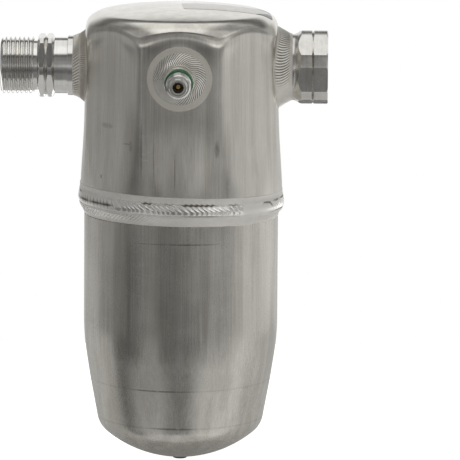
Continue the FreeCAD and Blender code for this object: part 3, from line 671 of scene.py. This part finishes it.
def makeGirthWeld():
    columns = girthSet["scales"] * girthSet["perScale"]
    angle = evenAngles(columns)[None, :] - math.pi
    degrees = np.degrees(angle)
    drop = girthRows()
    top, toe = [level + aside * np.cos(angle) + back * np.sin(angle)
                for level, aside, back in (girthSet["lipTop"], girthSet["toe"])]
    left = between(degrees, *girthSet["leftRun"])
    toLeft = between(-degrees, *girthSet["toLeft"])
    lump, cluster = [np.clip(1 - ((degrees - middle) / half) ** 2, 0, 1)
                     for middle, half in (girthSet["lump"], girthSet["cluster"])]
    lump = lump ** 0.5
    # Scales: rounded crests with narrow valleys, leaning along the weld as they go down
    lean = girthSet["slant"] * (1 - 0.8 * left) * np.minimum(drop - 3.7, 3.1)
    shift = angle - lean / 48.5
    phase = girthSet["scales"] * shift / fullTurn + 0.2 * np.sin(15 * shift + 2 * np.sin(3 * shift))
    scale = np.floor(phase).astype(int) % girthSet["scales"]
    uneven = np.random.default_rng(11).uniform(0.6, 1.3, girthSet["scales"])[scale]
    arch = np.abs(np.sin(np.pi * phase)) ** 0.7
    groove, depth, width = girthSet["groove"]
    groove = groove + 0.18 * np.sin(fullTurn * phase)
    live = between(drop, groove - 0.1, groove + 0.6, *girthSet["scalesEnd"])
    strength = (1 - lump) + 2.6 * cluster
    faded = (1 - 0.35 * softStep(drop, 6.6, 8.2)) * (1 - 0.4 * left)
    height = girthSet["height"] * live * strength * (uneven * arch - 0.6) * faded
    # Fine ripples on the lower ridge, and faint ribs on the band above the groove
    lowShift = angle - girthSet["lowSlant"] * drop / 48.0
    fine = np.sin(girthSet["lowScales"] * lowShift + 1.3 * np.sin(9 * angle))
    lower = between(drop, *girthSet["lowRun"])
    height = height + girthSet["lowHeight"] * lower * fine * (1 - 0.8 * lump) * (0.35 + 0.65 * toLeft)
    rib = np.sin(girthSet["scales"] * angle + 0.8 * np.sin(5 * angle))
    height = height + 0.025 * rib * between(drop, 0.5, 1.5, groove - 0.8, groove) * (1 - lump)
    # Grooves, the lump, and the lap at the run's end
    leftGroove = girthSet["leftGroove"]
    cut = hump(drop, groove, width) * (1 - left) + 0.8 * hump(drop, leftGroove, 0.5) * left
    cut = cut * np.clip(1 - lump + 0.8 * cluster, 0, 1)
    lowGroove, lowDepth, lowWidth = girthSet["lowGroove"]
    lowCut = hump(drop, lowGroove, lowWidth) * (1 - 0.9 * lump)
    height = height - depth * cut - lowDepth * lowCut
    height = height + girthSet["lumpHeight"] * lump * between(drop, *girthSet["lumpRun"])
    lap = between(degrees, *girthSet["lap"]) * between(drop, *girthSet["lapRun"])
    height = height - girthSet["lapDepth"] * lap
    # Crater: an arc-shaped groove round the upper right of a small pool
    craterAngle, craterDrop = girthSet["crater"]
    far = np.hypot((degrees - craterAngle) * 0.84 / 4.4, (drop - craterDrop) / 2.5)
    arc = hump(far + 0.09 * np.sin(31 * angle), 1.0, 0.15)
    arc = arc * softStep(drop, craterDrop + 0.3, craterDrop - 0.8)
    arc = arc * softStep(degrees, craterAngle - 5, craterAngle - 1)
    height = height - girthSet["craterDepth"] * arc
    z = top - drop / girthSet["drop"] * (top - toe + 0.5 * lump * np.abs(np.sin(9 * angle)))
    ends = np.clip(girthSet["drop"] - drop, 0, 1) * np.clip(drop / 0.5, 0, 1)
    radius = girthProfile(drop) + height * ends
    # Shine of the scales and ripples, less the stains and painted shade in the grooves, valleys and crater
    shine = live * (1 - 0.75 * lump + cluster) * (1 - 0.6 * left)
    shine = np.clip(shine + lower * (0.45 * toLeft + 0.3 * fine * (0.3 + toLeft)), 0, 1)
    patchy = 0.45 + 0.4 * np.sin(5 * angle + 2.4) + 0.35 * np.sin(13 * angle + 1) + 0.25 * np.sin(29 * angle)
    patchy = np.clip(patchy, 0.12, 1)
    thick = hump(drop, groove + 0.15, 0.6) * (1 - left) * (1 - lump) * np.clip(patchy - 0.4, 0, 1)
    stainAndShade = np.maximum(1.2 * cut * patchy + 1.3 * thick, 0.75 * lowCut * (1 - toLeft) * (0.3 + patchy))
    stainAndShade = stainAndShade + 0.55 * live * (1 - arch) ** 2 * (1 - lump + cluster) + 0.9 * arc
    # A dark line under the lip's step and along the left groove: painted shade
    stainAndShade = stainAndShade + 0.5 * hump(drop, 0.12, 0.15) + 0.4 * left * hump(drop, leftGroove - 0.5, 1.7)
    gloss = np.clip(shine * (1 - np.clip(stainAndShade, 0, 1)) - stainAndShade, -1, 1)
    # Back of the bead, buried in the shells, from the toe up to the lip
    buried = [around(inner, angle, level) for inner, level in
              ((46.1, toe + 0.3), (45.8, 30.4), (45.8, 37.45), (48.0, 37.45), (48.0, top - 0.1))]
    points = np.concatenate([around(radius, angle, z)] + buried)
    gloss = np.concatenate([gloss, np.zeros((len(buried), columns))])
    finish = weldFinish("girthBead", tone(246, 244, 240), tone(232, 229, 222), tone(226, 210, 174))
    bead = patch(points, ringed=True)
    return buildPiece("girthWeld", [bead], finish, "girth_bead", "girth_weld", 60, gloss)


makeGirthWeld()
print("girth weld laid")


# Threads, hexagons and turned surfaces of the three fittings
def hexagon(settings):
    # Angles round a hexagon, with columns at its creases, and how far its sides are in each direction
    edge, middle = settings["columns"]
    crease = settings["crease"]
    side = runs((-30, -crease, edge), (-crease, crease, middle), (crease, 30, edge))
    angle = np.radians((settings["turn"] + 60 * np.arange(6)[:, None] + side[None, :]).ravel())
    off = (angle - math.radians(settings["turn"]) + math.pi / 6) % (math.pi / 3) - math.pi / 6
    return angle, settings["half"] / np.cos(off)


def turnedPatch(path, angle, place, limit=None):
    radius = path[:, 1:] + 0 * angle[None, :]
    if limit is not None:
        radius = np.minimum(radius, limit[None, :])
    return patch(place(path[:, :1], radius, angle[None, :]))


def threadPatches(settings, angle, place, bound):
    # Thread with sixty-degree flanks: the radius is the root plus the height that the distance from
    # the groove's middle gives, and the groove moves one pitch along for each turn. A plain radius at
    # an end closes it.
    start, end = settings["thread"]
    pitch, depth, rootHalf, sense = [settings[name] for name in ("pitch", "depth", "rootHalf", "sense")]
    crestEdge = 0.5 - (rootHalf + depth / math.sqrt(3)) / pitch
    rootEdge = 0.5 - rootHalf / pitch
    middle = (crestEdge + rootEdge) / 2
    marks = np.array([0, crestEdge, middle, rootEdge, 0.5, 1 - rootEdge, 1 - middle, 1 - crestEdge])
    turns = math.ceil((end - start) / pitch) + 4
    base = (start - 2 * pitch + pitch * (np.arange(turns)[:, None] + marks[None, :])).reshape(-1, 1)
    turn = (angle - angle[0])[None, :] / fullTurn
    along = np.clip(base + sense * pitch * turn, start, end)
    phase = (along - start) / pitch - sense * turn
    height = np.clip((np.abs(phase % 1 - 0.5) * pitch - rootHalf) * math.sqrt(3), 0, depth)
    points = place(along, bound(along, settings["root"] + height), angle[None, :])
    patches = [patch(points, shift=len(marks) * sense)]
    for row, level, plain in zip((0, -1), (start, end), settings["ends"]):
        if plain is not None:
            edge = place(np.full((1, 1), level), plain + 0 * angle[None, :], angle[None, :])
            patches.append(patch(np.concatenate([points[row][None], edge])))
    return patches


def makeFitting(name, settings, angle, place, paths, bound, finish, slotName, node):
    # A turned piece from its paths, each with its hexagon or none, and its thread
    patches = [turnedPatch(path, angle, place, limit) for path, limit in paths]
    patches += threadPatches(settings, angle, place, bound)
    return buildPiece(name, patches, finish, slotName, node, 17)


def turnedFinish(name, light, dark, rough, axis, lineDepth=0.0035):
    # Turned and milled aluminium: fine tool lines across the fitting's axis and a few rubs
    board = newFinish(name)
    stretch = [0.02] * 3
    stretch[axis] = 1
    lines = board.noise(0.16, 3, 0.65, stretch)
    wide = board.noise(1.1, 2, 0.5, stretch)
    cloud = board.noise(7.0, 4, 0.6)
    rub = board.hairs(0.012, 3.2, 3, 0.55, (1, 1, 1), 1.2) * cloud.step(0.48, 0.62)
    shade = lines.step(0.3, 0.7) * 0.35 + cloud.step(0.3, 0.7) * 0.45 + wide.step(0.35, 0.65) * 0.2
    colour = board.blend(shade, dark, light)
    roughness = rough + (cloud - 0.5) * 0.10 + (wide - 0.5) * 0.06 + rub * 0.12
    return board.finish(colour, roughness, lines * lineDepth + wide * 0.004 - rub * 0.004, 1.0)


# Outlet: male threaded fitting with two thin hexagon rings and a collar
outletSet = {"turn": 26.5, "half": 14.2, "crease": 23.2, "sense": 1, "pitch": 2.117, "thread": (70.2, 85.9),
             "major": 13.49, "root": 12.24, "depth": 1.25, "rootHalf": 0.2, "ends": (11.75, 12.15),
             "chamfer": 1.0, "leadLow": 0.55, "leadSlope": 1.2, "columns": (7, 34)}


def makeOutlet():
    angle, limit = hexagon(outletSet)
    start, end = outletSet["thread"]
    outside = softPath([(41.374, 11.6, 0), (46.0, 11.6, 0), (46.0, 14.2, 0), (54.15, 14.2, 0.3),
                        (54.15, 13.35, 0.12), (60.35, 13.35, 0)])
    rings = softPath([(60.35, 13.35, 0), (61.55, 15.45, 0.12), (63.35, 15.45, 0.12), (64.375, 13.656, 0.1),
                      (65.4, 15.45, 0.12), (67.2, 15.45, 0.12), (68.4, 13.35, 0)])
    after = softPath([(68.4, 13.35, 0), (68.4, 11.75, 0.1), (start, 11.75, 0)])
    bore = softPath([(end, 12.15, 0), (end, 8.8, 0.08), (end - 0.8, 8.0, 0.08), (47.374, 8.0, 0),
                     (47.374, 9.575, 0), (41.374, 9.575, 0), (41.374, 11.6, 0)])

    def bound(along, radius):
        lead = outletSet["major"] - outletSet["leadLow"] + (along - start) * outletSet["leadSlope"]
        tip = outletSet["major"] - np.clip(along - end + outletSet["chamfer"], 0, None)
        return np.minimum(np.minimum(radius, tip), lead)

    paths = [(outside, None), (fillPath(rings, 0.12), limit), (after, None), (bore, None)]
    finish = turnedFinish("turnedFitting", tone(238, 237, 233), tone(214, 212, 208), 0.13, 0)
    return makeFitting("outletFitting", outletSet, angle, toOutlet, paths, bound, finish, "turned_fitting",
                       "outlet_fitting")


# Inlet: female hexagon fitting, one piece with its neck
inletSet = {"turn": -13.5, "half": 16.67, "crease": 20.09, "sense": -1, "pitch": 2.117,
            "thread": (56.5, 69.5), "root": 12.35, "depth": 1.15, "rootHalf": 0.2, "ends": (13.6, None),
            "mouth": 68.3, "columns": (9, 30)}


def makeInlet():
    angle, limit = hexagon(inletSet)
    start = inletSet["thread"][0]
    neck = softPath([(42.624, 11.6, 0), (46.0, 11.6, 0), (46.0, 15.65, 0), (53.6, 15.65, 0.9),
                     (55.3, 16.57, 0)])
    nut = softPath([(55.3, 16.57, 0), (56.9, 17.75, 0.15), (61.85, 17.75, 0.06), (62.4, 16.67, 0),
                    (62.95, 17.75, 0.06), (69.0, 17.75, 0.12), (69.5, 17.25, 0)])
    face = softPath([(69.5, 17.25, 0), (69.5, 16.6, 0), (69.5, 13.55, 0)])
    bore = softPath([(start, 13.6, 0), (54.5, 13.6, 0.15), (54.5, 8.75, 0.2), (42.624, 8.75, 0),
                     (42.624, 11.6, 0)])

    def bound(along, radius):
        return np.maximum(radius, inletSet["root"] + np.clip(along - inletSet["mouth"], 0, None))

    paths = [(neck, None), (fillPath(nut, 0.11), limit), (face, limit), (bore, None)]
    finish = turnedFinish("milledFitting", tone(228, 226, 221), tone(196, 193, 187), 0.20, 0, 0.005)
    return makeFitting("inletFitting", inletSet, angle, toInlet, paths, bound, finish, "milled_fitting",
                       "inlet_fitting")


# Service port: turned connection with a groove for the ring, a fine thread and a plain nose
portSet = {"sense": 1, "pitch": 1.5, "thread": (65.324, 72.024), "major": 5.95, "root": 5.05, "depth": 0.90,
           "rootHalf": 0.15, "ends": (5.1, 4.95), "chamfer": 0.9, "columns": 144}


def makePort():
    angle = evenAngles(portSet["columns"])
    start, end = portSet["thread"]
    boss = softPath([(42.624, 1.7, 0), (42.624, 5.5, 0), (46.0, 5.5, 0), (46.0, 7.1, 0), (58.624, 7.1, 0.35),
                     (58.624, 5.85, 0.12), (62.024, 5.85, 0.2), (62.024, 4.9, 0.15), (64.324, 4.9, 0.1),
                     (64.324, 5.1, 0.05), (start, 5.1, 0)])
    nose = softPath([(end, 4.95, 0), (end, 4.25, 0.1), (75.724, 4.25, 0.5), (75.724, 2.6, 0.12),
                     (58.574, 2.6, 0), (58.574, 1.7, 0), (42.624, 1.7, 0)])

    def bound(along, radius):
        return np.minimum(radius, portSet["major"] - np.clip(along - end + portSet["chamfer"], 0, None))

    finish = turnedFinish("turnedPort", tone(236, 235, 231), tone(206, 204, 199), 0.15, 1)
    return makeFitting("servicePort", portSet, angle, toPort, [(boss, None), (nose, None)], bound, finish,
                       "turned_port", "service_port")


ringSet = {"along": 63.174, "radius": 5.79, "section": 0.89}


def rubberFinish(name, base, worn, rough):
    # Moulded rubber: fine bloom and specks
    board = newFinish(name)
    cloud = board.noise(1.6, 4, 0.6)
    speck = board.cells(0.5).step(0.22, 0.08)
    colour = board.blend(cloud.step(0.4, 0.7) * 0.5 + speck * 0.2, base, worn)
    relief = cloud * 0.01 + board.noise(0.12, 2) * 0.004
    return board.finish(colour, rough + (cloud - 0.5) * 0.2, relief, 0.0, {"Specular IOR Level": 0.55})


def makeRing():
    # Torus: a circle of the section carried round the port's axis
    angle = evenAngles(112)[None, :]
    around = evenAngles(28)[:, None]
    along = ringSet["along"] + ringSet["section"] * np.cos(around) + 0 * angle
    radius = ringSet["radius"] + ringSet["section"] * np.sin(around) + 0 * angle
    finish = rubberFinish("greenRubber", tone(14, 96, 42), tone(44, 138, 74), 0.34)
    return buildPiece("portRing", [patch(toPort(along, radius, angle), ringed=True)], finish, "green_rubber",
                      "service_port_o_ring", 60)


makeOutlet()
makeInlet()
makePort()
makeRing()
print("fittings and port turned")


# Fillet beads round the fittings. The base follows the shell, and the section is a slightly hollow
# curve: a quadratic through its start, middle and end, each a radius and a height above the seat.
beadSeat = 46.024


def shellReach(radius, angle):
    # Distance out from the can's axis of the shell's surface at a point round a fitting's axis. The
    # eight flats make it the same for all three fittings.
    aside, z = radius * np.cos(angle), fittingHeight + radius * np.sin(angle)
    out = np.full_like(aside + z, 46.0)
    for _ in range(12):
        out = np.sqrt(np.clip(shellSurface(np.arctan2(aside, out), z) ** 2 - aside ** 2, 1, None))
    return out


def ramp(t, low, high, soft):
    # 1 between low and high, falling to 0 at them over soft
    return np.clip(np.minimum(t - low, high - t) / soft, 0, 1)


def fuller(wave):
    # A wave with broader crests
    return np.sign(wave) * np.abs(wave) ** 0.8


def quiet(angle, middle, half):
    # 0 within half of a direction and 1 a little outside it
    off = np.abs((angle - math.radians(middle) + np.pi) % fullTurn - np.pi)
    return np.clip((off - math.radians(half)) / 0.35, 0, 1)


# Ripples of the three beads: the height of the relief and the gloss, whose values below 0 give stains and
# painted shade in the valleys
def inletRipple(t, angle):
    # They bend back at the bead's middle and slant along it, and stop where the bead is smooth
    calm = quiet(angle, -62, 34)
    body = fuller(np.sin(84 * angle - 36 * (t - 0.5) ** 2 - 17 * t + 0.4 * np.sin(6 * angle)))
    live = ramp(t, 0.04, 0.88, 0.12) * calm
    return 0.12 * live * body, live * (0.15 + 1.15 * body) + 0.45 * (1 - calm)


def outletRipple(t, angle):
    # Slanted strokes by the collar, then a brown, finely rippled foot by the shell
    body = fuller(np.sin(62 * angle + 20 * t + 0.5 * np.sin(5 * angle)))
    foot = np.sin(104 * angle - 7 * t + 1.2 * np.sin(7 * angle))
    upper, lower = ramp(t, 0.46, 0.98, 0.08), ramp(t, 0.02, 0.44, 0.1)
    return 0.13 * (upper * body + 0.6 * lower * foot), upper * (0.3 + body) - lower * (0.28 - 0.3 * foot)


def portRipple(t, angle):
    # Lines that sweep clockwise as they go outward
    far = (1 - t) * 6.15
    body = fuller(np.sin(50 * (angle + 0.04 * far ** 1.5) + 0.5 * np.sin(4 * angle + 1)))
    live = ramp(t, -0.02, 0.97, 0.1) * quiet(angle, 222, 28)
    return 0.15 * live * body, live * (0.15 + 1.1 * body) - 0.8 * hump(t, 0.03, 0.035)


beads = {
    "inletWeld": {"place": toInlet, "ripple": inletRipple, "base": (19.7, 0), "middle": (17.375, 3.35),
                  "end": (15.65, 6.7), "rows": 34, "columns": 900, "uneven": 0.12, "node": "inlet_weld",
                  "slot": "inlet_bead", "finish": "inletBead",
                  "tones": [(238, 236, 229), (206, 202, 193), (222, 206, 168)]},
    "outletWeld": {"place": toOutlet, "ripple": outletRipple, "base": (17.6, 0), "middle": (15.3, 2.8),
                   "end": (14.2, 5.6), "rows": 30, "columns": 832, "uneven": 0.15, "node": "outlet_weld",
                   "slot": "outlet_bead", "finish": "outletBead",
                   "tones": [(242, 239, 231), (206, 200, 188), (222, 204, 164)]},
    "portWeld": {"place": toPort, "ripple": portRipple, "base": (12.8, 0), "middle": (9.35, 1.75),
                 "end": (7.1, 5.4), "rows": 30, "columns": 720, "uneven": 0.08, "node": "service_port_weld",
                 "slot": "port_bead", "finish": "portBead",
                 "tones": [(240, 238, 232), (208, 204, 196), (214, 198, 160)]},
}


def makeBead(name, shape):
    place = shape["place"]
    angle = evenAngles(shape["columns"])[None, :]
    t = np.linspace(0, 1, shape["rows"])[:, None]
    # Quadratic through three values at 0, one half and 1
    radius, rise = [a + t * (4 * b - 3 * a - c) + t * t * (2 * a + 2 * c - 4 * b) + 0 * angle
                    for a, b, c in zip(shape["base"], shape["middle"], shape["end"])]
    uneven = np.sin(2 * angle + 0.7) + 0.6 * np.sin(5 * angle + 2.0) + 0.4 * np.sin(9 * angle)
    radius = radius + shape["uneven"] * uneven * (1 - t)
    atBase = shellReach(radius[:1], angle)
    out = rise + beadSeat + (atBase - beadSeat) * (1 - t) ** 2 - 0.12 * (1 - t) ** 6
    lift, gloss = shape["ripple"](t, angle)
    edge = np.clip(t / 0.08, 0, 1) * np.clip((1 - t) / 0.06, 0, 1)
    tilt = np.arctan2(np.gradient(rise[:, 0]), -np.gradient(radius[:, 0]))[:, None]
    radius = radius + lift * edge * np.sin(tilt)
    out = out + lift * edge * np.cos(tilt)
    # Back of the bead: just inside the fitting's surface, and down into the shell
    neck = shape["end"][0] - 0.08 + 0 * angle
    points = np.concatenate([place(out, radius, angle), place(out[-1:], neck, angle),
                             place(shellReach(neck, angle) - 0.15, neck, angle)])
    gloss = np.concatenate([gloss * edge + 0 * angle, np.zeros((2, shape["columns"]))])
    finish = weldFinish(shape["finish"], *[tone(*colour) for colour in shape["tones"]])
    return buildPiece(name, [patch(points, ringed=True)], finish, shape["slot"], shape["node"], 60, gloss)


def makeBeads():
    for name, shape in beads.items():
        makeBead(name, shape)


makeBeads()
print("fillet beads laid")


# Foil label on the dome, bare, with a plain arrow cut at its outer end
labelSet = {"length": 42.3, "width": 17.8, "corner": 2.2, "centre": (21.4, -2.5), "turn": 5.1,
            "lift": 0.12, "sink": 0.03, "ripple": 0.015, "arrow": 7.8, "inked": (10, 11), "columns": 96,
            "rows": 44}


def domeHeight(x, y):
    # Height of the shell above a point of the plan, found by halving the range
    reach, bearing = np.hypot(x, y), np.arctan2(y, x)
    low, high = np.full_like(reach, shoulderStart), np.full_like(reach, upperSet["apex"])
    for _ in range(40):
        middle = (low + high) / 2
        outside = shellSurface(bearing, middle) > reach
        low, high = np.where(outside, middle, low), np.where(outside, high, middle)
    return (low + high) / 2


def labelFinish():
    board = newFinish("foilLabel")
    x, y, z = board.spots()
    turn = math.radians(labelSet["turn"])
    cx, cy = labelSet["centre"]
    along = (x - cx) * math.cos(turn) + (y - cy) * math.sin(turn)
    across = (y - cy) * math.cos(turn) - (x - cx) * math.sin(turn)
    slant = across.size() / (labelSet["width"] / 2) - (labelSet["length"] / 2 - along) / labelSet["arrow"]
    dark = slant.step(-0.015, 0.015) * along.step(*labelSet["inked"])
    brushed = board.noise(0.3, 3, 0.6, (0.04, 1, 1))
    cloud = board.noise(6.0, 3, 0.6)
    colour = board.blend(cloud.step(0.35, 0.65), tone(226, 224, 219), tone(242, 240, 236))
    colour = board.blend(dark * 0.96, colour, tone(34, 33, 34))
    roughness = 0.36 - dark * 0.2 + (cloud - 0.5) * 0.15 + (brushed - 0.5) * 0.1
    return board.finish(colour, roughness, brushed * 0.004 + cloud * 0.03, 1.0 - dark * 0.9)


def makeLabel():
    half = np.array([labelSet["length"], labelSet["width"]]) / 2
    a, b = np.meshgrid(np.linspace(-half[0], half[0], labelSet["columns"]),
                       np.linspace(-half[1], half[1], labelSet["rows"]))
    corner = labelSet["corner"]
    # Each point past the start of a corner is pulled in, so that the corner is round
    overA, overB = [np.clip(np.abs(way) - edge + corner, 0, None) for way, edge in zip((a, b), half)]
    squeeze = np.maximum(overA, overB) / np.maximum(np.hypot(overA, overB), 1e-9)
    a, b = [np.sign(way) * (np.abs(way) - over * (1 - squeeze)) for way, over in ((a, overA), (b, overB))]
    turn = math.radians(labelSet["turn"])
    x = labelSet["centre"][0] + a * math.cos(turn) - b * math.sin(turn)
    y = labelSet["centre"][1] + a * math.sin(turn) + b * math.cos(turn)
    z = domeHeight(x, y)
    bump = labelSet["ripple"] * np.sin(a * 0.9 + 1) * np.sin(b * 0.7)
    top = np.stack([x, y, z + labelSet["lift"] + bump], -1)
    below = np.stack([x, y, z - labelSet["sink"]], -1)

    def rim(points):
        return np.concatenate([points[0, :-1], points[:-1, -1], points[-1, :0:-1], points[:0:-1, 0]])

    side = np.stack([rim(top), rim(below)])
    patches = [patch(top, sideways=False), patch(below, sideways=False), patch(side)]
    return buildPiece("label", patches, labelFinish(), "foil_label", "identification_label", 35)


makeLabel()
print("label stuck on")


# Desiccant bags: two D-shaped felt pillows beside the tube, hidden in the can
bagSet = {"radius": 39.2, "face": 10.2, "halfHeight": 22.4, "columns": 128, "rows": 56}


def feltFinish():
    board = newFinish("felt")
    fibre = board.noise(0.5, 5, 0.7, (1, 1, 0.35), 1.5)
    lump = board.cells(2.4)
    colour = board.blend(fibre.step(0.35, 0.65), tone(206, 200, 186), tone(236, 232, 222))
    return board.finish(colour, 0.9 + (fibre - 0.5) * 0.1, fibre * 0.08 - lump * 0.12, 0.0)


def makeBag(name, side, node, finish):
    # Pillow: the D-shaped outline shrinks towards the top and bottom as a rounded power of the height,
    # the sides pull in a little at the sewn ends, and beads inside push small bulges out
    turn = evenAngles(bagSet["columns"])[None, :]
    rise = np.linspace(-math.pi / 2, math.pi / 2, bagSet["rows"])[:, None]
    middle = (bagSet["radius"] + bagSet["face"]) / 2
    cosTurn, sinTurn = np.cos(turn), np.sin(turn)
    toRound = np.sqrt(np.clip(bagSet["radius"] ** 2 - (middle * cosTurn) ** 2, 0, None)) - middle * sinTurn
    toFace = np.where(sinTurn < -1e-3, (bagSet["face"] - middle) / np.minimum(sinTurn, -1e-3), 1e3)
    outline = softLeast(toRound, toFace, 6.0)
    full = np.abs(np.cos(rise)) ** 0.42
    puff = 1 - 0.012 * (1 + np.sin(9 * turn + 3 * rise)) - 0.02 * np.exp(-(rise / 0.10) ** 2)
    reach = outline * full * puff
    z = bagSet["halfHeight"] * np.sign(np.sin(rise)) * np.abs(np.sin(rise)) ** 0.8 + 0 * turn
    points = np.stack([side * reach * cosTurn, side * (middle + reach * sinTurn), z], -1)
    piece = buildPiece(name, [patch(points)], finish, "felt", node, 60)
    return piece


feltCloth = feltFinish()
makeBag("bagRear", 1, "desiccant_bag_rear", feltCloth)
makeBag("bagFront", -1, "desiccant_bag_front", feltCloth)
print("bags filled")


# Finishes of the nodes that keep their own shape
def metalFinish(name, light, dark, rough, size=2.0, stretch=(1, 1, 1), lineDepth=0.004):
    board = newFinish(name)
    lines = board.noise(0.2, 3, 0.6, stretch)
    cloud = board.noise(size, 4, 0.6)
    colour = board.blend(lines.step(0.3, 0.7) * 0.4 + cloud.step(0.3, 0.7) * 0.6, dark, light)
    return board.finish(colour, rough + (cloud - 0.5) * 0.12, lines * lineDepth + cloud * 0.005, 1.0)


def plasticFinish(name, light, dark, rough):
    board = newFinish(name)
    cloud = board.noise(5.0, 4, 0.6)
    grain = board.noise(0.3, 2, 0.5)
    colour = board.blend(cloud.step(0.3, 0.7), dark, light)
    return board.finish(colour, rough + (cloud - 0.5) * 0.12, grain * 0.012 + cloud * 0.02, 0.0)


def screenFinish():
    # Woven wire: the gaps between the wires are open
    board = newFinish("wovenScreen")
    x, y, z = board.spots()
    angle = y.math("ARCTAN2", x) * (120 / fullTurn)
    upright = (angle.math("FRACT") - 0.5).size().step(0.30, 0.24)
    level = ((z * 2.6).math("FRACT") - 0.5).size().step(0.30, 0.24)
    wires = upright.math("MAXIMUM", level)
    colour = board.blend(wires, tone(120, 118, 112), tone(188, 186, 180))
    return board.finish(colour, 0.3 + (board.noise(1.0) - 0.5) * 0.1, wires * 0.05, 1.0, {"Alpha": wires})


def studFinish():
    # Polished button, painted dark round its lower edge: painted shade and painted reflection of the dark
    # below
    board = newFinish("brightStud")
    x, y, z = board.spots()
    edge = z.step(-88.6, -89.3)
    cloud = board.noise(2.0, 3, 0.6)
    colour = board.blend(edge, tone(228, 226, 222), tone(92, 96, 120))
    return board.finish(colour, 0.14 + edge * 0.1 + (cloud - 0.5) * 0.06, cloud * 0.006, 1.0)


def dressNodes():
    finishes = {
        # The barrel's brass is painted dark: painted shade of its place deep in the port
        "valve_core_barrel": metalFinish("shadedValveBrass", tone(82, 74, 58), tone(50, 46, 40), 0.36),
        "valve_pin": metalFinish("pinBrass", tone(222, 196, 130), tone(186, 156, 96), 0.2),
        "valve_core_gasket": plasticFinish("whiteSeal", tone(236, 235, 230), tone(214, 212, 205), 0.4),
        "valve_pin_seal": rubberFinish("blackRubber", tone(28, 28, 29), tone(60, 60, 60), 0.5),
        "valve_spring": metalFinish("springSteel", tone(196, 194, 190), tone(150, 148, 145), 0.22),
        "bottom_stud": studFinish(),
        "suction_tube": metalFinish("drawnTube", tone(206, 204, 198), tone(168, 165, 158), 0.3, 6.0,
                                    (1, 1, 0.05)),
        "deflector_cap": plasticFinish("blackPlastic", tone(44, 44, 46), tone(28, 28, 30), 0.42),
        "bleed_filter_housing": plasticFinish("whitePlastic", tone(226, 224, 216), tone(204, 201, 192), 0.42),
        "bleed_filter_screen": screenFinish(),
        "bag_tie": plasticFinish("tiePlastic", tone(218, 214, 200), tone(196, 192, 178), 0.38),
    }
    for node, finish in finishes.items():
        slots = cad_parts[node].data.materials
        if not slots:
            slots.append(finish)
        for place in range(len(slots)):
            slots[place] = finish


dressNodes()
print("nodes finished")

bpy.context.scene.view_settings.view_transform = "Standard"
